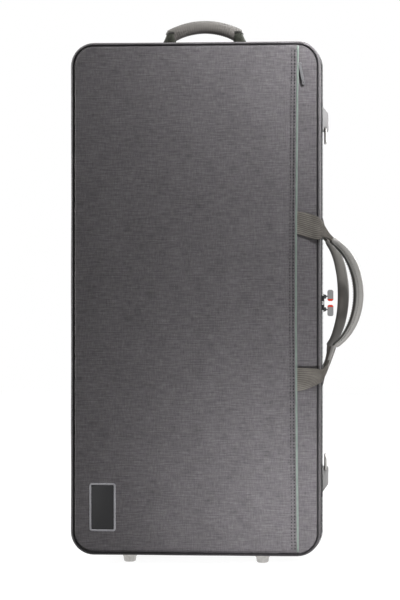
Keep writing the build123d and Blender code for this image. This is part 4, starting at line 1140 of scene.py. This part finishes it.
def grip_frame(pivot, turn, angle):
    """A frame on a grip's arc: X is outward in its plane, Y is square to the plane."""
    c, s = math.cos(angle), math.sin(angle)
    reach, height = GRIP_BACK + GRIP_ARC * c, GRIP_MIDDLE_Z + GRIP_ARC * s
    point = handle_point(pivot, turn, reach, height)
    ahead = handle_point(pivot, turn, reach + s * MM, height - c * MM)
    outward = handle_point(pivot, turn, reach + c * MM, height + s * MM)
    return frame_at(point, ahead - point, outward - point)


def grip_section():
    """The grip's section: a full oval, a little flatter on its inner side."""
    return [(7.2 * MM * x * (1.0 if x > 0 else 0.92),
             9.6 * MM * math.copysign(abs(y) ** 0.86, y) * (1.0 - 0.10 * (x < 0) * abs(x)))
            for x, y in oval_section(1.0, 1.0, 20)]


def carry_grip(word, joint, turn, body, node, cover, tail):
    """Vinyl grip with its welt and stitches; its lower end runs on as a narrow tail."""
    pivot = joint_place(joint)
    frames, scales = [], []
    for i in range(GRIP_STEPS + 1):
        angle = math.radians(GRIP_FIRST + (GRIP_LAST - GRIP_FIRST) * i / GRIP_STEPS)
        frames.append(grip_frame(pivot, turn, angle))
        share = 2 * i / GRIP_STEPS - 1
        full = 1 - share * share
        end = 1.0 - max(0.0, (abs(share) - 0.94) / 0.06) ** 2 * 0.35
        top_heavy = 1.0 - 0.20 * share + 0.12 * math.exp(-((share + 0.55) / 0.3) ** 2)
        scales.append(((0.56 + 0.44 * full) * end * top_heavy, (0.70 + 0.30 * full) * end))
    arc, thin = list(frames), scales[-1]
    scales[-3:] = [(s[0] * 1.05, s[1] * 1.05) for s in scales[-3:]]
    for i in range(1, TAIL_STEPS + 1):
        share = i / TAIL_STEPS
        step = arc[-1].copy()
        step.translation = arc[-1].translation.lerp(handle_point(pivot, turn, *tail), share)
        frames.append(step)
        scales.append((thin[0] * (1.05 - 0.35 * share), thin[1] * (1.05 - 0.30 * share)))
    bm = sweep(grip_section(), frames, scales)
    for v in bm.verts:
        v.co += v.normal * 0.22 * MM * wander(v.co, 0.03, 6.0)
    grip = finish_piece(bm, f"{word}_vinyl_grip", cover, body, (node,))
    inner = [f @ Matrix.Translation((-s[0] * 6.6 * MM, 0, 0)) for f, s in zip(arc, scales)]
    finish_piece(sweep(oval_section(1.5 * MM, 2.3 * MM, 8), inner), f"{word}_grip_welt", dark_vinyl, body,
                 ())
    rows = []
    for side in (-1, 1):
        points = [arc[i] @ Vector((-scales[i][0] * 5.2 * MM, side * scales[i][1] * 6.7 * MM, 0))
                  for i in range(2, GRIP_STEPS - 1)]
        rows.append((points, arc[GRIP_STEPS // 2].to_3x3() @ Vector((0, side, 0))))
    stitches(f"{word}_grip_stitches", rows, body, pitch=4.2 * MM, thick=0.7 * MM)


# The last pair is where the tail ends: its reach from the fold line and its height.
carry_grip("front", "front_handle_swing", FRONT_TURN, "front_handle", "front_grip", vinyl,
           (10.0 * MM, 310 * MM))
# The rear grip takes the darker copy of the vinyl, which is painted shade.
carry_grip("rear", "rear_handle_swing", REAR_TURN, "rear_handle", "rear_grip", painted_shade_vinyl,
           (19.5 * MM, 331 * MM))

# %% [markdown]
# ## The top handle
#
# A moulded rubber grip is pushed over the webbing. Fine ribs run round it, deepest
# near its ends, and a dark collar closes each end. The webbing legs spread to the
# sewn loops on the top. A leg is only as thick as lets it swing without touching the
# top of the case.

# %% Ribbed grip, collars and legs
TOP_PEAK, TOP_RADIUS, TOP_LIMIT = TOP_Z + 36 * MM, 114 * MM, math.radians(29.5)
TOP_RIBS, STEPS_PER_RIB = 31, 4
TOP_SWING, TOP_GAP = math.radians(58), 1.3 * MM
LEG_DEPTH = 25.6 * MM
# Offsets from the handle's middle and heights over the top, in millimetres.
LEG_OUTER = ((61.5, 26), (64.5, 18), (69, 10), (76, 5), (81, 2.4))
LEG_INNER = ((47.0, 26), (46.6, 18), (47, 10), (48.5, 5), (49, 2.4))
COLLAR_OUTER, COLLAR_INNER = ((61.6, 28.2), (63.2, 24.6)), ((46.2, 28.2), (46.0, 24.6))
top_pivot = joint_place("top_handle_swing")


def ribbed_grip():
    """The arched rubber grip."""
    frames, scales = [], []
    count = TOP_RIBS * STEPS_PER_RIB
    for i in range(count + 1):
        share = -1 + 2 * i / count
        a = TOP_LIMIT * share
        point = (top_pivot.x + TOP_RADIUS * math.sin(a), top_pivot.y,
                 TOP_PEAK - TOP_RADIUS + TOP_RADIUS * math.cos(a))
        frames.append(frame_at(point, (math.cos(a), 0, -math.sin(a)), (0, 1, 0)))
        rib = 0.5 - 0.5 * math.cos(math.tau * i / STEPS_PER_RIB)
        grow = 1.0 + 0.045 * rib * (0.35 + 0.65 * min(1.0, abs(share) * 1.6))
        end = max(0.0, (abs(share) - 0.7) / 0.3)
        scales.append((grow * (1.0 - 0.25 * end), grow * (1.0 + 0.05 * end)))
    finish_piece(sweep(oval_section(12.4 * MM, 10.3 * MM, 28), frames, scales), "top_rubber_grip", rubber,
                 "top_handle", ("top_grip",))


def top_line(side, line):
    """Points of the top handle, on its left (-1) or right (1) side."""
    return [Vector((top_pivot.x + side * x * MM, top_pivot.y, TOP_Z + z * MM)) for x, z in line]


def top_legs():
    """Collars and legs of the top handle."""
    lift = top_pivot.z - TOP_Z - TOP_GAP
    collars = bmesh.new()
    for word, side in (("left", -1), ("right", 1)):
        bm = ribbon(top_line(side, LEG_OUTER), top_line(side, LEG_INNER), LEG_DEPTH, 5)
        for v in bm.verts:
            room = ((v.co.z - top_pivot.z) * math.cos(TOP_SWING) + lift) / math.sin(TOP_SWING)
            v.co.y = top_pivot.y + (v.co.y - top_pivot.y) * min(1.0, room / (LEG_DEPTH / 2))
        piece = finish_piece(bm, f"top_leg_{word}", dark_webbing, "top_handle", ())
        if side < 0:
            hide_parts("top_handle_webbing")
        band = ribbon(top_line(side, COLLAR_OUTER), top_line(side, COLLAR_INNER), 27.4 * MM, 2)
        mesh = bpy.data.meshes.new("collar")
        band.to_mesh(mesh)
        band.free()
        collars.from_mesh(mesh)
        bpy.data.meshes.remove(mesh)
    finish_piece(collars, "top_grip_collars", dark_vinyl, "top_handle", ())


ribbed_grip()
top_legs()


# %% Sewn loops on the top end
def top_loops():
    """Flat webbing patches with a raised tunnel that hold the handle's ends."""
    half = 5.6 * MM
    for word, side in (("left", -1), ("right", 1)):
        line = []
        for k in range(-6, 7):
            a = k / 6
            if abs(a) > 0.36:
                y, z = a * 15.4 * MM, 1.0 * MM
            else:
                turn = a / 0.36 * math.pi / 2
                y, z = 4.1 * MM * math.sin(turn), 4.4 * MM + 4.0 * MM * math.cos(turn)
            line.append(Vector((top_pivot.x + side * 86 * MM, top_pivot.y + y, TOP_Z + z)))
        near, far = ([p + Vector((offset, 0, 0)) for p in line] for offset in (half, -half))
        piece = finish_piece(ribbon(near, far, 1.4 * MM, 3), f"top_loop_{word}", dark_webbing, "case_body",
                             ())
        if side < 0:
            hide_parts("top_handle_anchors")
        roll = [Vector((top_pivot.x + side * t * MM, top_pivot.y, top_pivot.z)) for t in (46, 60, 76, 92)]
        rod = sweep(round_section(5.6 * MM, 5.6 * MM, 2.79 * MM), line_up(roll, (0, 1, 0)))
        finish_piece(rod, f"top_roll_{word}", dark_webbing, "top_handle", ())
    rows = [([Vector((top_pivot.x + s * x * MM, top_pivot.y + t * 12 * MM, TOP_Z + 1.75 * MM))
              for x in (81.5, 90.5)], UP) for s in (-1, 1) for t in (-1, 1)]
    stitches("top_loop_stitches", rows, "case_body", pitch=2.9 * MM, length=2.0 * MM)


top_loops()

# %% [markdown]
# ## Ring tabs and the fabric hinge
#
# A soft piece of the frame keeps its shape but loses its machined edges: its mesh is
# copied, flat faces are merged, and the sharp edges are rounded by a bevel. The
# hinge is one cloth across both halves, a little raised over the parting line and attached to neither body.


# %% Soft copies of frame pieces
def soft_copy(node, body, material, radius, segments=3):
    """A copy of a frame piece with round edges."""
    source = frame["nodes"][node]
    bm = bmesh.new()
    bm.from_mesh(source.data)
    bm.transform(source.matrix_world)
    bmesh.ops.remove_doubles(bm, verts=bm.verts, dist=1e-5)
    bmesh.ops.dissolve_limit(bm, angle_limit=math.radians(4), verts=bm.verts, edges=bm.edges)
    sharp = [e for e in bm.edges if len(e.link_faces) == 2 and e.calc_face_angle(0) > math.radians(30)]
    bmesh.ops.bevel(bm, geom=sharp, offset=radius, offset_type="OFFSET", segments=segments, profile=0.5,
                    affect="EDGES", clamp_overlap=True)
    bmesh.ops.triangulate(bm, faces=[f for f in bm.faces if len(f.verts) > 4])
    return finish_piece(bm, f"{node}_cloth", material, body, (node,))


def ring_tabs():
    """Webbing tabs that hold the rings, each on a flat strip, with two rows of stitches."""
    rows = []
    for word, sign in (("upper", 1), ("lower", -1)):
        node = f"ring_tab_{word}"
        # The tabs' pale colour is a painted highlight.
        soft_copy(node, "case_body", painted_highlight_webbing, 0.9 * MM)
        low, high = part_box(node)
        inner, outer = (low.z, high.z) if sign > 0 else (high.z, low.z)
        bottom, top = sorted((inner - sign * 1.0 * MM, outer + sign * 6.0 * MM))
        box_piece(f"ring_strip_{word}", (RIGHT_X + 0.1 * MM, low.y - 0.6 * MM, bottom),
                  (RIGHT_X + 1.3 * MM, high.y + 0.6 * MM, top), dark_webbing, "case_body", (),
                  0.5 * MM)
        for t in (0.25, 0.75):
            y = low.y + (high.y - low.y) * t
            for past in (1.2, 5.0):
                z = outer + sign * past * MM
                rows.append(([Vector((RIGHT_X + 1.5 * MM, y + side * 4.5 * MM, z)) for side in (-1, 1)],
                             (1, 0, 0)))
    stitches("ring_tab_stitches", rows, "case_body", length=2.0 * MM, pitch=3.0 * MM)


ring_tabs()

# %% The fabric hinge
HINGE_ACROSS, HINGE_ALONG = 24, 120


def hinge_cloth():
    """One cloth over both halves' left sides, across the parting line."""
    low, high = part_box("hinge_spine_body")
    lid_low, lid_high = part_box("hinge_spine_lid")
    bottom, top = min(low.z, lid_low.z), max(high.z, lid_high.z)
    front, back = lid_low.y, high.y
    outer = min(low.x, lid_low.x)
    across = []
    for k in range(HINGE_ACROSS + 1):
        t = k / HINGE_ACROSS
        y = front + (back - front) * t
        bulge = 0.55 * MM * math.exp(-((y - PARTING_Y) / (5 * MM)) ** 2)
        edge = 0.4 * MM * max(0.0, abs(t - 0.5) * 2 - 0.9) / 0.1
        across.append((outer + 0.7 * MM - bulge + edge, y))
    bm = bmesh.new()
    grid = []
    for i in range(HINGE_ALONG + 1):
        z = bottom + (top - bottom) * i / HINGE_ALONG
        pull = 1.5 * MM * max(0.0, 1 - min(z - bottom, top - z) / (6 * MM))
        grid.append([bm.verts.new((x + 0.15 * MM * wander((x, y, z), 0.03, 2.0),
                                   y + (pull if y < PARTING_Y else -pull), z)) for x, y in across])
    for a, b in zip(grid, grid[1:]):
        for k in range(HINGE_ACROSS):
            bm.faces.new((a[k], a[k + 1], b[k + 1], b[k]))
    bmesh.ops.recalc_face_normals(bm, faces=bm.faces)
    if bm.faces[0].normal.x > 0:
        bmesh.ops.reverse_faces(bm, faces=bm.faces)
    bmesh.ops.solidify(bm, geom=bm.faces[:] + bm.edges[:] + bm.verts[:], thickness=0.6 * MM)
    cloth = finish_piece(bm, "hinge_cloth", nylon, None, ())
    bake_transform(cloth)
    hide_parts("hinge_spine_body", "hinge_spine_lid")
    for word, body, y in (("lid", "lid", front + 2.5 * MM), ("body", "case_body", back - 2.5 * MM)):
        line = [Vector((outer, y, z)) for z in levels(bottom + 6 * MM, top - 6 * MM, 20 * MM)]
        stitches(f"hinge_stitches_{word}", [(line, (-1, 0, 0))], body)


hinge_cloth()

# %% [markdown]
# ## Inside the case
#
# The inside is foam under plush: the bed for the instrument, its pillows, the neck
# cradle and the lid's lining. Soft copies serve here too, with larger rounds. The
# straps and the box lid are stiffer and keep small rounds.


# %% Plush, straps and lids
def inside():
    """Cover every soft piece inside the case."""
    padded = (
        ("instrument_nest", "case_body", 2.5, 1.0), ("bed_pillows", "case_body", 2.0, 0.7),
        ("neck_cradle", "case_body", 2.5, 0.9), ("lid_lining", "lid", 2.4, 0.8),
        ("bow_rests", "lid", 1.8, 0.9), ("bow_tip_pockets", "lid", 1.4, 0.5))
    for node, body, radius, fill in padded:
        soft_copy(node, body, plush, radius * MM)
    soft_copy("body_inner_rim", "case_body", plush, 0.6 * MM, segments=2)
    soft_copy("accessory_box_lid", "box_lid", plush, 0.9 * MM)
    soft_copy("neck_strap_base", "case_body", webbing, 0.6 * MM)
    soft_copy("neck_strap", "neck_strap_flap", webbing, 0.8 * MM)


def wall_band():
    """A thin plush lining on the inner side of the lid's walls."""
    y = PARTING_Y - 9 * MM
    outer, inner = outline_path(13.0 * MM, y), outline_path(13.8 * MM, y)
    rim, base = PARTING_Y - 1.2 * MM, FRONT_Y + 11.6 * MM
    bm = bmesh.new()
    rings = [[bm.verts.new((point.x, depth, point.z)) for point, _, _ in path]
             for path, depth in ((outer, rim), (inner, rim), (inner, base), (outer, base))]
    for a, b in zip(rings, rings[1:] + rings[:1]):
        for k in range(len(a)):
            n = (k + 1) % len(a)
            bm.faces.new((a[k], a[n], b[n], b[k]))
    finish_piece(bm, "lid_wall_plush", plush, "lid", ())


inside()
wall_band()

# %% [markdown]
# ## Metal, rubber and plastic
#
# The rigid pieces keep the frame's exact meshes. Only their finish changes, and it is
# set on the object, so the mesh itself is left alone.


# %% Finishes of the rigid pieces
def dress(material, *nodes):
    """Give frame pieces a finish of their own."""
    for node in nodes:
        piece = frame["nodes"][node]
        if not piece.material_slots:
            piece.data.materials.append(material)
        for holder in piece.material_slots:
            holder.link = "OBJECT"
            holder.material = material


dress(nickel, "d_ring_upper", "d_ring_lower")
dress(dull_metal, "pocket_slider", "pocket_pull")
dress(black_metal, "zip_slider_upper", "zip_slider_lower", "pull_link_upper", "pull_link_lower")
dress(grey_rubber, "pull_tab_upper", "pull_tab_lower")
dress(red_rubber, "pull_accent_upper", "pull_accent_lower")
dress(smoked_plastic, "bow_spinner_bases", "bow_spinner_left", "bow_spinner_right")

# %% [markdown]
# ## Feet
#
# The four feet are turned metal. The outline of one foot, from its sole to the case,
# is spun round its middle line.

# %% Turned feet
FOOT_LINE = ((0, 0), (7.0, 0.0), (8.6, 0.7), (9.6, 2.2), (10.4, 8.6), (11.2, 9.2), (11.4, 11.0), (11.2, 12.3))


def turned_feet(node, body):
    """A pair of turned feet in place of a frame piece: a domed end, a cone and a flange."""
    low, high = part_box(node)
    half = (high.y - low.y) / 2
    bm = bmesh.new()
    for x in (low.x + half, high.x - half):
        middle = Vector((x, low.y + half, 0))
        verts = [bm.verts.new(middle + Vector((r * MM, 0, z * MM))) for r, z in FOOT_LINE]
        edges = [bm.edges.new(pair) for pair in zip(verts, verts[1:])]
        bmesh.ops.spin(bm, geom=verts + edges, cent=middle, axis=(0, 0, 1), angle=math.tau, steps=40,
                       use_merge=True)
    finish_piece(bm, f"turned_{node}", nickel, body, (node,))


turned_feet("front_feet", "lid")
turned_feet("rear_feet", "case_body")
print("still the frame's own meshes:",
      sorted(node for node, piece in frame["nodes"].items() if not piece.hide_render))
